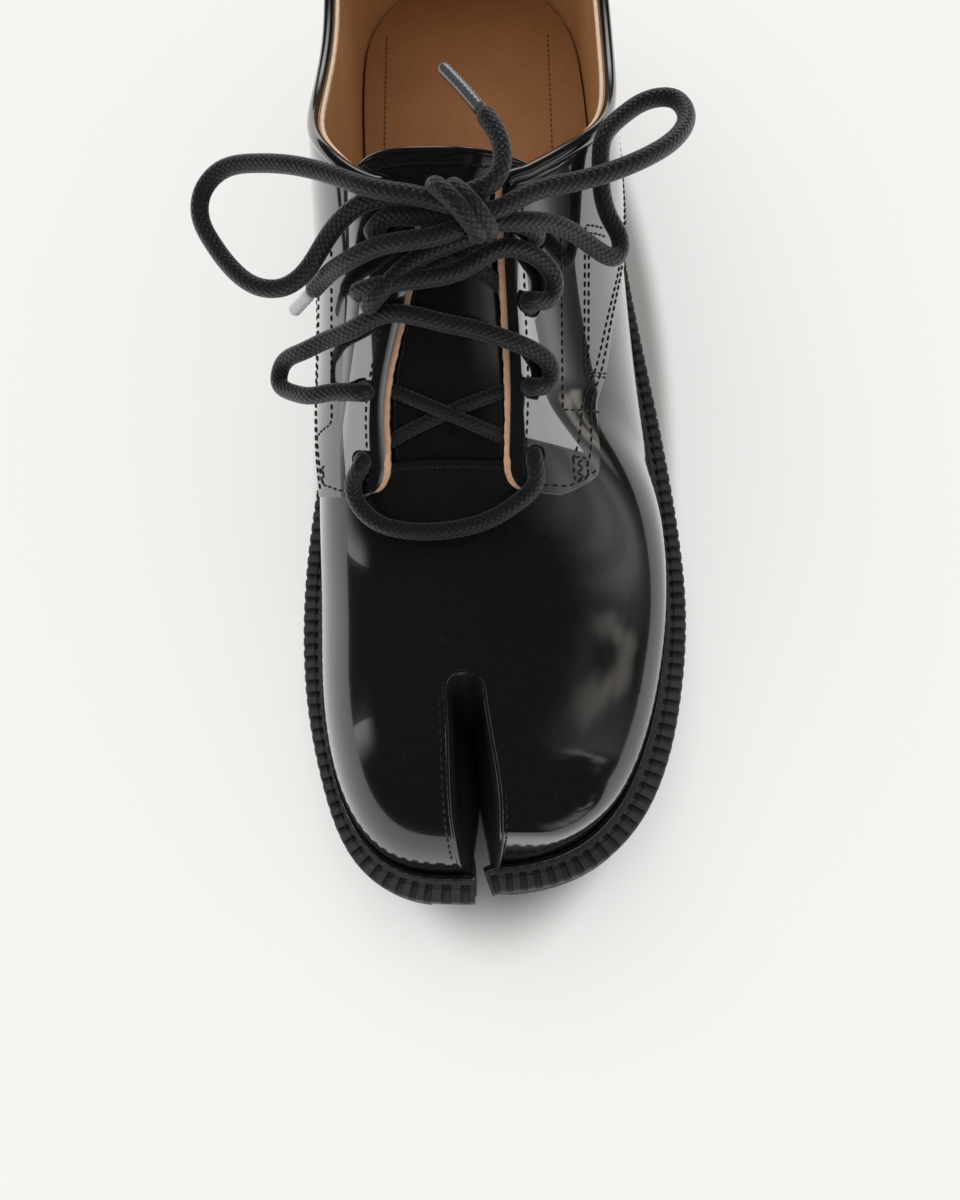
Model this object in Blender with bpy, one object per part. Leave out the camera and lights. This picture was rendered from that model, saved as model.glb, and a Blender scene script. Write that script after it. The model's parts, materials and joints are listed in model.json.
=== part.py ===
"""Split toe lace-up shoe for the left foot, standing on its sole.

Frame: metres, +Z up, toe towards -Y, heel towards +Y, the outer side of the foot towards +X.
The origin is on the floor, under the middle of the sole. The tables below count y in millimetres
from the ball of the foot; add_mesh moves every piece to the origin.
"""

import math
from collections import namedtuple

import bmesh
import bpy
import numpy as np
from mathutils import Vector

MM = 0.001

# Driving sizes, in millimetres
LENGTH = 310.0
UPPER_LENGTH = 300.5
TOE_REVEAL = 6.8
WALL = 2.0
GAP = 0.3
QUARTER_THICKNESS = 1.5
TONGUE_THICKNESS = 1.8
TONGUE_GAP = 0.65
INSOLE_THICKNESS = 3.0
WELT_THICKNESS = 4.4
RIB_PITCH = 4.5
RIB_DEPTH = 1.1
LACE_DIAMETER = 4.2
EYELET_DIAMETER = 4.8

MEDIAL, LATERAL = -1, 1
TOE_END = -142.0
MIDDLE = Vector((0.0, TOE_END + LENGTH / 2, 0.0))
TOE_TIP = TOE_END + TOE_REVEAL
HEEL_TIP = TOE_TIP + UPPER_LENGTH

# Sections of the last: place along the foot, reach to each side, ridge, rise over the sole, and how
# square the section is on each side
Section = namedtuple("Section", "y medial lateral ridge rise square_medial square_lateral")
LAST = [
    Section(-136, 41.4, 46.0, -4.5, 29.5, 2.5, 2.4),
    Section(-112, 43.9, 44.4, -5.5, 36.5, 2.45, 2.35),
    Section(-86, 46.9, 46.0, -7.5, 41.5, 2.4, 2.3),
    Section(-60, 48.3, 47.8, -9.0, 46, 2.4, 2.15),
    Section(-38, 47.8, 47.2, -9.0, 60, 2.75, 2.0),
    Section(0, 45.0, 43.0, -6.5, 90, 2.75, 1.85),
    Section(35, 44.6, 37.6, -5.5, 112, 3.0, 2.3),
    Section(72, 43.4, 34.4, -5.0, 124, 2.5, 2.5),
    Section(105, 44.8, 33.2, -6.0, 130, 2.2, 2.3),
    Section(140, 44.3, 30.2, -7.0, 134, 2.1, 2.2),
    Section(167, 42.0, 28.0, -7.0, 136, 2.1, 2.2),
]
# How each end of the plan closes: length of the rounding and its fullness
EndRound = namedtuple("EndRound", "reach power")
TOE_ROUND = {MEDIAL: EndRound(54, 3.0), LATERAL: EndRound(88, 2.95)}
TOE_RISE = {MEDIAL: EndRound(34, 2.4), LATERAL: EndRound(22, 4.5)}
HEEL_ROUND = EndRound(44, 2.4)
TOE_MIDDLE, HEEL_MIDDLE = -8.0, -7.0
UNDERCUT = 1.6
TILT = 0.028
HEEL_LEAN = 5.0
HEEL_BULGE_HEIGHT = 24.0
LOBE_SETBACK = 2.6
LOBE_FRONT = 4.0
LOBE_SLOPE = 0.5
LOBE_SLOPE_POWER = 1.5
LOBE_SLOPE_LENGTH = 26.0
LOBE_SQUARE = 6.5
LOBE_START = (24, 84)

# Sole along the foot: underside and top of the outsole, and how far the welt stands out on each side
SoleRow = namedtuple("SoleRow", "y under top reveal_medial reveal_lateral")
SOLE = [
    SoleRow(-142, 9.0, 19.5, 7.9, 6.6),
    SoleRow(-114, 3.2, 14.0, 5.0, 7.8),
    SoleRow(-86, 0.2, 11.4, 6.2, 7.4),
    SoleRow(-55, -0.8, 10.6, 7.0, 7.0),
    SoleRow(-30, -0.3, 11.0, 6.8, 6.8),
    SoleRow(0, 4.0, 13.6, 6.4, 6.4),
    SoleRow(35, 10.5, 19.0, 5.6, 5.6),
    SoleRow(70, 16.0, 24.0, 4.6, 4.6),
    SoleRow(105, 18.5, 26.5, 4.2, 4.2),
    SoleRow(140, 19.0, 27.0, 4.0, 4.0),
    SoleRow(172, 19.0, 27.0, 4.0, 4.0),
]
HEEL_BREAST = 76.0
HEEL_TAPER = 1.5
OUTSOLE_CHAMFER = 1.2
WELT_CLEARANCE = 0.7
INSOLE_CLEARANCE = 0.7

# Toe cleft: middle line along the foot, and its widths at each height
CleftLine = namedtuple("CleftLine", "y x")
CLEFT_LINE = [CleftLine(-160, -4.0), CleftLine(-118, -4.3), CleftLine(-92, -6.6), CleftLine(-70, -8.6)]
CleftLevel = namedtuple("CleftLevel", "z shift toe_half root_half root_y")
CLEFT = [
    CleftLevel(-8, 0.0, 3.0, 2.3, -97.0),
    CleftLevel(12, 0.0, 3.0, 2.3, -97.0),
    CleftLevel(54, -0.9, 6.3, 4.4, -90.0),
    CleftLevel(80, -1.5, 8.3, 5.8, -85.7),
]
CLEFT_FRONT = -160.0

# Topline in side view, from the top of the facings to the back of the heel
TopPoint = namedtuple("TopPoint", "y z")
TOPLINE = [
    TopPoint(0, 108), TopPoint(3, 106.4), TopPoint(7.5, 105), TopPoint(15, 103), TopPoint(27, 97.5),
    TopPoint(45, 89.5), TopPoint(66, 84.5), TopPoint(95, 84), TopPoint(128, 89.5), TopPoint(180, 99),
]
# Lower edge of the quarters in side view, from the corner of the tab to the back of the heel
SeamRow = namedtuple("SeamRow", "y medial lateral")
QUARTER_SEAM = [
    SeamRow(-44, 49, 56.8), SeamRow(-20, 57, 65.8), SeamRow(5, 63, 65.2), SeamRow(30, 66, 65.5),
    SeamRow(60, 66, 66), SeamRow(110, 64, 65), SeamRow(180, 64, 64),
]
TAB_FRONT, TAB_TOP = -49.0, 59.0
SPLIT_HEIGHT = 55.0

# Throat between the facings: their two edges along the foot
ThroatRow = namedtuple("ThroatRow", "y medial lateral")
THROAT = [
    ThroatRow(-66, -26.6, 2.9), ThroatRow(-46, -25.6, 3.7), ThroatRow(-30, -25.2, 4.2),
    ThroatRow(-20, -21.7, 3.8), ThroatRow(-9, -17.9, 3.1), ThroatRow(14, -16.1, 2.4),
]
VAMP_EDGE = -43.5
EyeletRow = namedtuple("EyeletRow", "y medial lateral")
EYELETS = [
    EyeletRow(-41.5, -31.3, 9.7), EyeletRow(-28.5, -30.1, 9.1), EyeletRow(-13.5, -26.1, 8.7),
    EyeletRow(-1.8, -24.5, 9.5),
]
# Tongue: its two ends, half widths at the top and the vamp, and the shape of its top edge
TONGUE_FRONT, TONGUE_BACK = -52.0, 9.0
TONGUE_HALF, TONGUE_FRONT_HALF = 26.0, 20.0
TONGUE_FLARE, TONGUE_CORNER = 4.0, 9.0

# Lace: places the cord runs through, over the facings from hole to hole and round the bow
LACE_BARS = {
    "lace_bar_low": [
        (-31.2, -44.6, 67.6), (-33.4, -47.6, 64.9), (-33.3, -51.1, 62.2), (-28.9, -56.2, 60.5),
        (-20.3, -59.0, 60.1), (-10.7, -59.1, 60.6), (-1.0, -56.8, 61.4), (6.2, -53.2, 63.9),
        (10.3, -48.8, 66), (10.0, -45.1, 68.1),
    ],
    "lace_bar_mid": [
        (-29.7, -32.2, 79), (-35.7, -31.0, 77.6), (-42.6, -29.9, 74.4), (-49.0, -26.2, 70.2),
        (-52.4, -22.4, 68.8), (-51.7, -19.4, 70.6), (-46.1, -18.9, 76), (-39.4, -19.0, 80.8),
        (-31.0, -20.0, 87.4), (-24.7, -19.6, 91.4), (-18.5, -20.4, 92.4), (-10.6, -21.6, 90.8),
        (-3.2, -22.4, 89.2), (4.4, -23.8, 86.8), (10.7, -24.8, 83.2), (13.9, -27.0, 79.6),
        (12.7, -30.0, 77.8), (8.9, -30.9, 78.9),
    ],
    "lace_bar_high": [
        (-26.8, -14.6, 91.6), (-29.9, -15.2, 93.6), (-27.1, -16.2, 96.6), (-21.0, -16.4, 98.6),
        (-14.2, -15.4, 98.6), (-6.9, -13.4, 98.6), (-1.8, -10.9, 99.9), (2.7, -8.8, 100.2),
        (7.7, -8.0, 98.2), (12.2, -8.7, 94.6), (14.6, -11.1, 90.9), (13.0, -14.4, 89.1),
        (8.7, -15.8, 90.9),
    ],
}
LACE_BOW = {
    "lace_bow": [
        (-26.1, -5.1, 101.8), (-23.5, -4.8, 105.2), (-18.4, -5.6, 107.2), (-12.6, -6.6, 108.2),
        (-6.8, -7.4, 108.4), (-1.4, -6.6, 107.2), (3.5, -5.0, 104.9), (7.5, -4.2, 102.2),
        (9.8, -3.6, 100),
    ],
    "knot_wrap": [
        (-9.6, -3.2, 107.6), (-11.4, -2.6, 111.4), (-11.3, -4.6, 115), (-8.0, -8.6, 115.8),
        (-4.1, -11.6, 112.2), (-2.4, -11.8, 108.6), (-4.1, -9.4, 106.8),
    ],
    "loop_medial": [
        (-6.7, -7.4, 111.8), (-15.2, -5.2, 112.8), (-24.4, -2.9, 112.6), (-34.4, 3.5, 110),
        (-44.1, 9.2, 107), (-54.3, 13.7, 103), (-63.2, 14.9, 99), (-67.3, 11.9, 96), (-67.9, 6.9, 94),
        (-64.9, 0.6, 92), (-59.8, -6.2, 91), (-53.3, -11.2, 91), (-47.5, -12.1, 92), (-41.8, -9.9, 95),
        (-37.6, -6.1, 99), (-32.8, -3.0, 103.6), (-25.0, -1.6, 108), (-16.2, -3.4, 109.2),
        (-7.6, -6.4, 109.4),
    ],
    "loop_lateral": [
        (-5.1, -8.0, 110.8), (1.1, -7.3, 110.6), (8.1, -3.6, 111.1), (18.4, -0.2, 110.8),
        (27.7, 2.8, 111), (36.0, 8.1, 110), (43.0, 17.2, 107), (44.6, 25.0, 105), (42.2, 29.8, 104),
        (36.9, 30.5, 103), (30.9, 27.0, 102), (26.1, 21.0, 101), (25.5, 16.2, 99), (25.8, 11.1, 96),
        (27.9, 5.8, 92), (30.3, 1.6, 89.4), (29.6, -2.1, 88.8), (24.9, -3.5, 92.2), (18.7, -3.4, 98.4),
        (13.0, -4.8, 103.4), (6.7, -7.2, 106.8), (-1.4, -8.6, 108.4),
    ],
    "end_medial": [
        (-5.4, -9.6, 108.6), (-11.8, -11.4, 107.6), (-17.7, -12.0, 107), (-24.9, -12.0, 105),
        (-31.3, -12.1, 101), (-37.2, -9.9, 93.4), (-42.5, -9.4, 86),
    ],
    "end_collar": [
        (-7.7, -5.8, 111.4), (-3.2, -4.4, 113.2), (0.4, -3.6, 114.6), (2.7, 1.0, 116), (1.7, 7.4, 117),
        (-1.7, 13.9, 117),
    ],
}
AGLETS = {
    "aglet_medial": [(-43.0, -9.4, 85.45), (-48.0, -10.5, 80)],
    "aglet_collar": [(-2.0, 14.6, 117), (-10.5, 28.8, 115)],
}
AGLET_DIAMETER = 3.6

# How finely curves are stepped, and how far cutters reach
STATIONS = 34
RING_STEPS = 9
HEEL_STATIONS = 14
TOPLINE_STEPS = 18
THROAT_STEPS = 7
TONGUE_STEPS = 12
ROOT_STEPS = 7
EYELET_SIDES = 8
LACE_SIDES = 8
LACE_STEP = 6.5
WIDE, HIGH, THROAT_FLOOR = 100.0, 200.0, 40.0


# Curves
def spline(rows, column):
    """Natural cubic spline of one column of a table over its first column."""
    return spline_through([row[0] for row in rows], [getattr(row, column) for row in rows])


def spline_through(places, values):
    x, y = np.array(places, float), np.array(values, float)
    n = len(x)
    step = np.diff(x)
    matrix = np.eye(n)
    right = np.zeros(n)
    for i in range(1, n - 1):
        matrix[i, i - 1 : i + 2] = step[i - 1], 2 * (step[i - 1] + step[i]), step[i]
        right[i] = 6 * ((y[i + 1] - y[i]) / step[i] - (y[i] - y[i - 1]) / step[i - 1])
    bend = np.linalg.solve(matrix, right)

    def value(at):
        i = int(np.clip(np.searchsorted(x, at) - 1, 0, n - 2))
        a, b = (x[i + 1] - at) / step[i], (at - x[i]) / step[i]
        curve = (a**3 - a) * bend[i] + (b**3 - b) * bend[i + 1]
        return float(a * y[i] + b * y[i + 1] + curve * step[i] ** 2 / 6)

    return value


REACH = {MEDIAL: spline(LAST, "medial"), LATERAL: spline(LAST, "lateral")}
RIDGE = spline(LAST, "ridge")
RISE = spline(LAST, "rise")
SQUARE = {MEDIAL: spline(LAST, "square_medial"), LATERAL: spline(LAST, "square_lateral")}
SOLE_UNDER = spline(SOLE, "under")
SOLE_TOP = spline(SOLE, "top")
REVEAL = {MEDIAL: spline(SOLE, "reveal_medial"), LATERAL: spline(SOLE, "reveal_lateral")}
CLEFT_X = spline(CLEFT_LINE, "x")
FACING = {MEDIAL: spline(THROAT, "medial"), LATERAL: spline(THROAT, "lateral")}
SEAM = {MEDIAL: spline(QUARTER_SEAM, "medial"), LATERAL: spline(QUARTER_SEAM, "lateral")}
TOPLINE_Z = spline(TOPLINE, "z")


def round_end(distance, end):
    """0 at the very end, growing round to 1 at the end's reach."""
    part = min(max(distance / end.reach, 0.0), 1.0)
    return (1 - (1 - part) ** end.power) ** (1 / end.power)


def smooth_step(value, low, high):
    part = min(max((value - low) / (high - low), 0.0), 1.0)
    return part * part * (3 - 2 * part)


def sole_under(y):
    return max(0.0, SOLE_UNDER(y))


# Last
def lobe_share(y, side):
    """0 along the foot, growing to 1 on the outer toe, which is boxy and falls away to the little toe."""
    return smooth_step(-y, *LOBE_START) if side == LATERAL else 0.0


def last_section(y, side):
    """Edge, ridge, base, rise, squareness and closing of one side of the last at a place along the foot."""
    toe, heel = y - TOE_TIP, HEEL_TIP - y
    middle = TOE_MIDDLE + (HEEL_MIDDLE - TOE_MIDDLE) * smooth_step(y, -100, 60)
    heel_closing = round_end(heel, HEEL_ROUND)
    closing = round_end(toe, TOE_ROUND[side]) * heel_closing
    rising = round_end(toe, TOE_RISE[MEDIAL])
    if side == LATERAL:
        rising += (round_end(toe, TOE_RISE[LATERAL]) - rising) * smooth_step(toe, 0, LOBE_FRONT)
    edge = middle + (side * REACH[side](y) - middle) * closing
    ridge = middle + (RIDGE(y) - middle) * rising * heel_closing
    square = SQUARE[side](y)
    square += (LOBE_SQUARE - square) * lobe_share(y, side)
    return edge, ridge, SOLE_TOP(y) + GAP, RISE(y) * rising, square, closing


def section_shares(angle, square):
    """Shares of the rise and of the width at an angle: a round section at 2, nearly a box at 7."""
    up, over = max(math.sin(angle), 0.0), max(math.cos(angle), 0.0)
    size = (up**square + over**square) ** (1 / square)
    return up / size, over / size


def last_point(y, side, angle):
    """Point on the upper's outside: angle 0 is the sole edge, a quarter turn is the ridge."""
    edge, ridge, base, rise, square, closing = last_section(y, side)
    up, over = section_shares(angle, square)
    x = ridge + (edge - ridge) * over
    x -= side * UNDERCUT * (1 - 0.6 * smooth_step(y, -20, 60)) * closing * (1 - up ** (square / 2)) ** 3
    slope = LOBE_SLOPE * lobe_share(y, side) * smooth_step(y - TOE_TIP, 0, LOBE_SLOPE_LENGTH)
    height = rise * up * (1 - slope * over**LOBE_SLOPE_POWER)
    x -= TILT * height
    lean = smooth_step(y, HEEL_TIP - 60, HEEL_TIP) * ((min(height, 80) - HEEL_BULGE_HEIGHT) / 50) ** 2
    setback = LOBE_SETBACK * smooth_step(-y, 92, 130) * smooth_step(x - CLEFT_X(y), -4, 4)
    return Vector((x, y - HEEL_LEAN * lean + setback, base + height))


def last_normal(y, side, angle):
    """Outward normal of the last, from small steps along and around it."""
    step, turn = 0.05, 0.01
    low, high = max(angle - turn, 0.002), min(angle + turn, math.pi / 2)
    along = last_point(y + step, side, angle) - last_point(y - step, side, angle)
    around = last_point(y, side, high) - last_point(y, side, low)
    return side * along.cross(around).normalized()


def grown_point(y, side, angle, grow):
    return last_point(y, side, angle) + last_normal(y, side, angle) * grow


def ridge_x(y):
    return last_point(y, MEDIAL, math.pi / 2).x


def skin_angle(x, y):
    """Side and section angle of the last above a place in plan."""
    side = MEDIAL if x < ridge_x(y) else LATERAL
    edge, ridge, _, _, square, _ = last_section(y, side)
    aim = x
    for _ in range(4):
        share = min(max((aim - ridge) / (edge - ridge), 0.0), 1.0)
        angle = math.atan2((1 - share**square) ** (1 / square), share)
        aim += x - last_point(y, side, angle).x
    return side, angle


def skin_point(x, y, lift):
    side, angle = skin_angle(x, y)
    return grown_point(y, side, angle, lift)


def sole_edge(y, side, grow):
    """Plan outline of the last at the sole, grown level by a distance."""
    point, normal = last_point(y, side, 0.0), last_normal(y, side, 0.002)
    normal.z = 0
    return point + normal.normalized() * grow


def stations(count=STATIONS, margin=0.35):
    """Places along the last, closer together towards toe and heel."""
    first, length = TOE_TIP + margin, UPPER_LENGTH - 2 * margin
    return [first + length * (1 - math.cos(math.pi * i / count)) / 2 for i in range(count + 1)]


def ring_angles():
    return [math.pi / 2 * i / RING_STEPS for i in range(RING_STEPS + 1)]


# Objects
def fresh_scene():
    for obj in list(bpy.data.objects):
        bpy.data.objects.remove(obj)


def collection(name):
    made = bpy.data.collections.new(name)
    bpy.context.scene.collection.children.link(made)
    return made


def material(name, colour, roughness):
    made = bpy.data.materials.new(name)
    made.use_nodes = True
    shader = made.node_tree.nodes["Principled BSDF"]
    shader.inputs["Base Color"].default_value = (*colour, 1.0)
    shader.inputs["Roughness"].default_value = roughness
    return made


def add_mesh(name, points, faces, where, finish=None):
    """Mesh object from points in millimetres, with its faces turned outwards; a cutter has no finish."""
    mesh = bpy.data.meshes.new(name)
    mesh.from_pydata([(Vector(p) - MIDDLE) * MM for p in points], [], faces)
    shape = bmesh.new()
    shape.from_mesh(mesh)
    bmesh.ops.recalc_face_normals(shape, faces=shape.faces)
    bmesh.ops.triangulate(shape, faces=[f for f in shape.faces if len(f.verts) == 4])
    shape.to_mesh(mesh)
    shape.free()
    mesh.shade_smooth()
    mesh.set_sharp_from_angle(angle=math.radians(35))
    obj = bpy.data.objects.new(name, mesh)
    where.objects.link(obj)
    if finish:
        mesh.materials.append(finish)
    else:
        obj.hide_render = True
        obj.display_type = "WIRE"
    return obj


def ring_cap(size, flat):
    """Faces that close a ring: one flat face, or rungs between its two sides."""
    if flat:
        return [tuple(range(size))]
    rungs = [(k, k + 1, size - 2 - k, size - 1 - k) for k in range((size - 1) // 2)]
    return [tuple(dict.fromkeys(rung)) for rung in rungs]


def loft(name, rings, where, finish=None, closed=False, flat=False):
    """Solid through rings of equal length, closed at its ends or joined into a hoop."""
    size, count = len(rings[0]), len(rings)
    faces = []
    for i in range(count if closed else count - 1):
        here, there = i * size, (i + 1) % count * size
        for k in range(size):
            after = (k + 1) % size
            faces.append((here + k, here + after, there + after, there + k))
    if not closed:
        for cap in ring_cap(size, flat):
            faces += [cap, tuple((count - 1) * size + k for k in cap)]
    return add_mesh(name, [p for ring in rings for p in ring], faces, where, finish)


def cut(obj, cutter, operation="DIFFERENCE"):
    modifier = obj.modifiers.new(cutter.name, "BOOLEAN")
    modifier.solver = "MANIFOLD"
    modifier.operation = operation
    modifier.object = cutter


def last_form(name, grow, where, finish=None, drop=0.0, places=None):
    """The last grown by a distance and closed below; drop lowers its underside."""
    rings = []
    for y in places or stations(margin=0.35 + 0.4 * max(-grow, 0.0)):
        medial = [grown_point(y, MEDIAL, a, grow) for a in ring_angles()]
        lateral = [grown_point(y, LATERAL, a, grow) for a in ring_angles()]
        ring = medial + lateral[-2::-1]
        if drop:
            down = Vector((0, 0, drop))
            ring = [medial[0] - down] + ring + [lateral[0] - down]
        rings.append(ring)
    return loft(name, rings, where, finish)


def prism(name, outline, low, high, axis, where):
    """Cutter: a flat outline stretched along an axis, x for side views and z for plans."""
    def place(point, at):
        return Vector((at, *point)) if axis == "x" else Vector((*point, at))

    return loft(name, [[place(p, low) for p in outline], [place(p, high) for p in outline]], where, flat=True)


def raised(point, height):
    return Vector((point.x, point.y, height))


# Sole
def make_outsole(where, finish):
    rings = []
    for y in stations():
        ring = []
        for side in (MEDIAL, LATERAL):
            reveal = REVEAL[side](y)
            edge, low = sole_edge(y, side, reveal), sole_edge(y, side, reveal - OUTSOLE_CHAMFER)
            under = sole_under(edge.y)
            rise = [raised(low, under), raised(edge, under + OUTSOLE_CHAMFER), raised(edge, SOLE_TOP(edge.y))]
            ring += rise if side == LATERAL else rise[::-1]
        rings.append(ring)
    return loft("outsole", rings, where, finish)


def make_heel(where, finish):
    back = HEEL_TIP - 0.35
    rings = []
    for i in range(HEEL_STATIONS + 1):
        y = HEEL_BREAST + (back - HEEL_BREAST) * math.sin(math.pi / 2 * i / HEEL_STATIONS)
        ring = []
        for side in (MEDIAL, LATERAL):
            reveal = REVEAL[side](y) - OUTSOLE_CHAMFER
            top, foot = sole_edge(y, side, reveal), sole_edge(y, side, reveal - HEEL_TAPER)
            rise = [raised(foot, 0.0), raised(top, sole_under(top.y) - GAP)]
            ring += rise if side == LATERAL else rise[::-1]
        rings.append(ring)
    return loft("heel", rings, where, finish)


def welt_walk():
    """Places round the welt's edge, half a rib apart, as (y, side) pairs."""
    span = UPPER_LENGTH - 0.04
    fine = [HEEL_TIP - 0.02 - span * (1 - math.cos(math.pi * i / 600)) / 2 for i in range(601)]
    walk = [(y, MEDIAL) for y in fine] + [(y, LATERAL) for y in fine[::-1]]
    edge = [sole_edge(y, side, REVEAL[side](y)) for y, side in walk]
    travel = np.concatenate([[0], np.cumsum([(b - a).length for a, b in zip(edge, edge[1:] + edge[:1])])])
    ribs = round(travel[-1] / RIB_PITCH)
    marks = [travel[-1] * (i + 0.25) / (2 * ribs) for i in range(2 * ribs)]
    return [walk[int(np.searchsorted(travel, mark)) % len(walk)] for mark in marks]


def make_welt(where, finish):
    rings = []
    for i, (y, side) in enumerate(welt_walk()):
        outer = sole_edge(y, side, REVEAL[side](y) - (RIB_DEPTH if i % 2 else 0.0))
        inner = sole_edge(y, side, WELT_CLEARANCE)
        low = [SOLE_TOP(p.y) + GAP for p in (inner, outer)]
        rings.append([
            raised(inner, low[0]), raised(outer, low[1]),
            raised(outer, low[1] + WELT_THICKNESS), raised(inner, low[0] + WELT_THICKNESS),
        ])
    return loft("welt", rings, where, finish, closed=True)


def make_insole(where, finish):
    rings = []
    for y in stations(margin=0.35 + 0.5 * (WALL + INSOLE_CLEARANCE)):
        ring = []
        for side in (MEDIAL, LATERAL):
            edge = sole_edge(y, side, -WALL - INSOLE_CLEARANCE)
            low = SOLE_TOP(edge.y) + GAP
            rise = [raised(edge, low), raised(edge, low + INSOLE_THICKNESS)]
            ring += rise if side == LATERAL else rise[::-1]
        rings.append(ring)
    return loft("insole", rings, where, finish)


# Cutters
def cleft_cutter(name, grow, where):
    """Wedge between the toe lobes, open to the front and round at its root."""
    rings = []
    for level in CLEFT:
        root_half = level.root_half + grow
        centre = level.root_y + grow - root_half
        left = []
        for y in (CLEFT_FRONT, -128, -114, centre):
            half = level.toe_half + grow + (level.root_half - level.toe_half) * smooth_step(y, -128, centre)
            left.append((CLEFT_X(y) - half, y))
        right = [(2 * CLEFT_X(y) - x, y) for x, y in left[::-1]]
        arc = []
        for i in range(1, ROOT_STEPS):
            turn = math.pi * i / ROOT_STEPS
            arc.append((CLEFT_X(centre) - root_half * math.cos(turn), centre + root_half * math.sin(turn)))
        rings.append([Vector((x + level.shift, y, level.z)) for x, y in left + arc + right])
    return loft(name, rings, where, flat=True)


def topline_cutter(where):
    """Everything above the topline."""
    y = np.linspace(TOPLINE[0].y, TOPLINE[-1].y, TOPLINE_STEPS)
    y = y[0] + (y - y[0]) ** 1.5 / (y[-1] - y[0]) ** 0.5
    outline = [(a, TOPLINE_Z(a)) for a in y] + [(y[-1], HIGH), (y[0], HIGH)]
    return prism("topline_cutter", outline, -WIDE, WIDE, "x", where)


def throat_cutter(name, front, where):
    """Everything between the facings, from a place along the foot backwards."""
    places = np.linspace(front, THROAT[-1].y, THROAT_STEPS)
    outline = [(FACING[MEDIAL](y), y) for y in places] + [(FACING[LATERAL](y), y) for y in places[::-1]]
    return prism(name, outline, THROAT_FLOOR, HIGH, "z", where)


def quarter_region(name, side, where):
    """Side view of one quarter, from the tab's front down to its seam and back to the heel."""
    places = np.linspace(QUARTER_SEAM[0].y, QUARTER_SEAM[-1].y, TOPLINE_STEPS)
    outline = [(TAB_FRONT, HIGH), (TAB_FRONT, TAB_TOP)] + [(y, SEAM[side](y)) for y in places]
    outline.append((places[-1], HIGH))
    return prism(name, outline, -WIDE, WIDE, "x", where)


def side_region(name, side, where):
    """Plan of one side of the shoe, up to just short of the ridge."""
    places = np.linspace(-80, 190, 14)
    outline = [(RIDGE(y) - TILT * SPLIT_HEIGHT + side * GAP / 2, y) for y in places]
    outline += [(side * WIDE, 190), (side * WIDE, -80)]
    return prism(name, outline, -10, HIGH, "z", where)


def tongue_region(where):
    """Plan of the tongue: narrower at the vamp, with round corners at the top."""
    outline = []
    for i in range(TONGUE_STEPS + 1):
        across = -math.cos(math.pi * i / TONGUE_STEPS)
        y = TONGUE_BACK + TONGUE_FLARE * across**2 - TONGUE_CORNER * abs(across) ** 12
        outline.append((ridge_x(y) + TONGUE_HALF * across, y))
    front = ridge_x(TONGUE_FRONT)
    outline += [(front + TONGUE_FRONT_HALF, TONGUE_FRONT), (front - TONGUE_FRONT_HALF, TONGUE_FRONT)]
    return prism("tongue_region", outline, THROAT_FLOOR, HIGH, "z", where)


def eyelet_cutter(where):
    """Round punches through the facings, square to them."""
    points, faces = [], []
    for row in EYELETS:
        for x in (row.medial, row.lateral):
            side, angle = skin_angle(x, row.y)
            axis = last_normal(row.y, side, angle)
            centre = last_point(row.y, side, angle)
            across = axis.orthogonal().normalized()
            over = axis.cross(across)
            first = len(points)
            for depth in (-6, 6):
                for i in range(EYELET_SIDES):
                    turn = 2 * math.pi * i / EYELET_SIDES
                    ray = across * math.cos(turn) + over * math.sin(turn)
                    points.append(centre + axis * depth + ray * EYELET_DIAMETER / 2)
            low = range(first, first + EYELET_SIDES)
            faces += [tuple(low), tuple(i + EYELET_SIDES for i in low)]
            for i in range(EYELET_SIDES):
                after = first + (i + 1) % EYELET_SIDES
                faces.append((first + i, after, after + EYELET_SIDES, first + i + EYELET_SIDES))
    return add_mesh("eyelet_cutter", points, faces, where)


# Lace
def tube(name, points, diameter, step, where, finish=None):
    """Round cord along a smooth run through points, with flat ends."""
    travel = np.concatenate([[0], np.cumsum([math.dist(a, b) for a, b in zip(points, points[1:])])])
    run = [spline_through(travel, [p[i] for p in points]) for i in range(3)]
    places = np.linspace(0, travel[-1], max(2, round(travel[-1] / step) + 1))
    line = [Vector([axis(at) for axis in run]) for at in places]
    aims = [(line[min(i + 1, len(line) - 1)] - line[max(i - 1, 0)]).normalized() for i in range(len(line))]
    across = aims[0].orthogonal().normalized()
    rings = []
    for point, aim in zip(line, aims):
        across = (across - aim * across.dot(aim)).normalized()
        over = aim.cross(across)
        turns = [2 * math.pi * i / LACE_SIDES for i in range(LACE_SIDES)]
        rings.append([point + (across * math.cos(t) + over * math.sin(t)) * diameter / 2 for t in turns])
    return loft(name, rings, where, finish, flat=True)


def make_lace(parts, cutters, cord, tips):
    for name, points in LACE_BARS.items():
        tube(name, points, LACE_DIAMETER, LACE_STEP, parts, cord)
    bow = None
    for name, points in LACE_BOW.items():
        if bow:
            cut(bow, tube(name, points, LACE_DIAMETER, LACE_STEP, cutters), "UNION")
        else:
            bow = tube(name, points, LACE_DIAMETER, LACE_STEP, parts, cord)
    for name, points in AGLETS.items():
        tube(name, points, AGLET_DIAMETER, 20.0, parts, tips)


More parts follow.
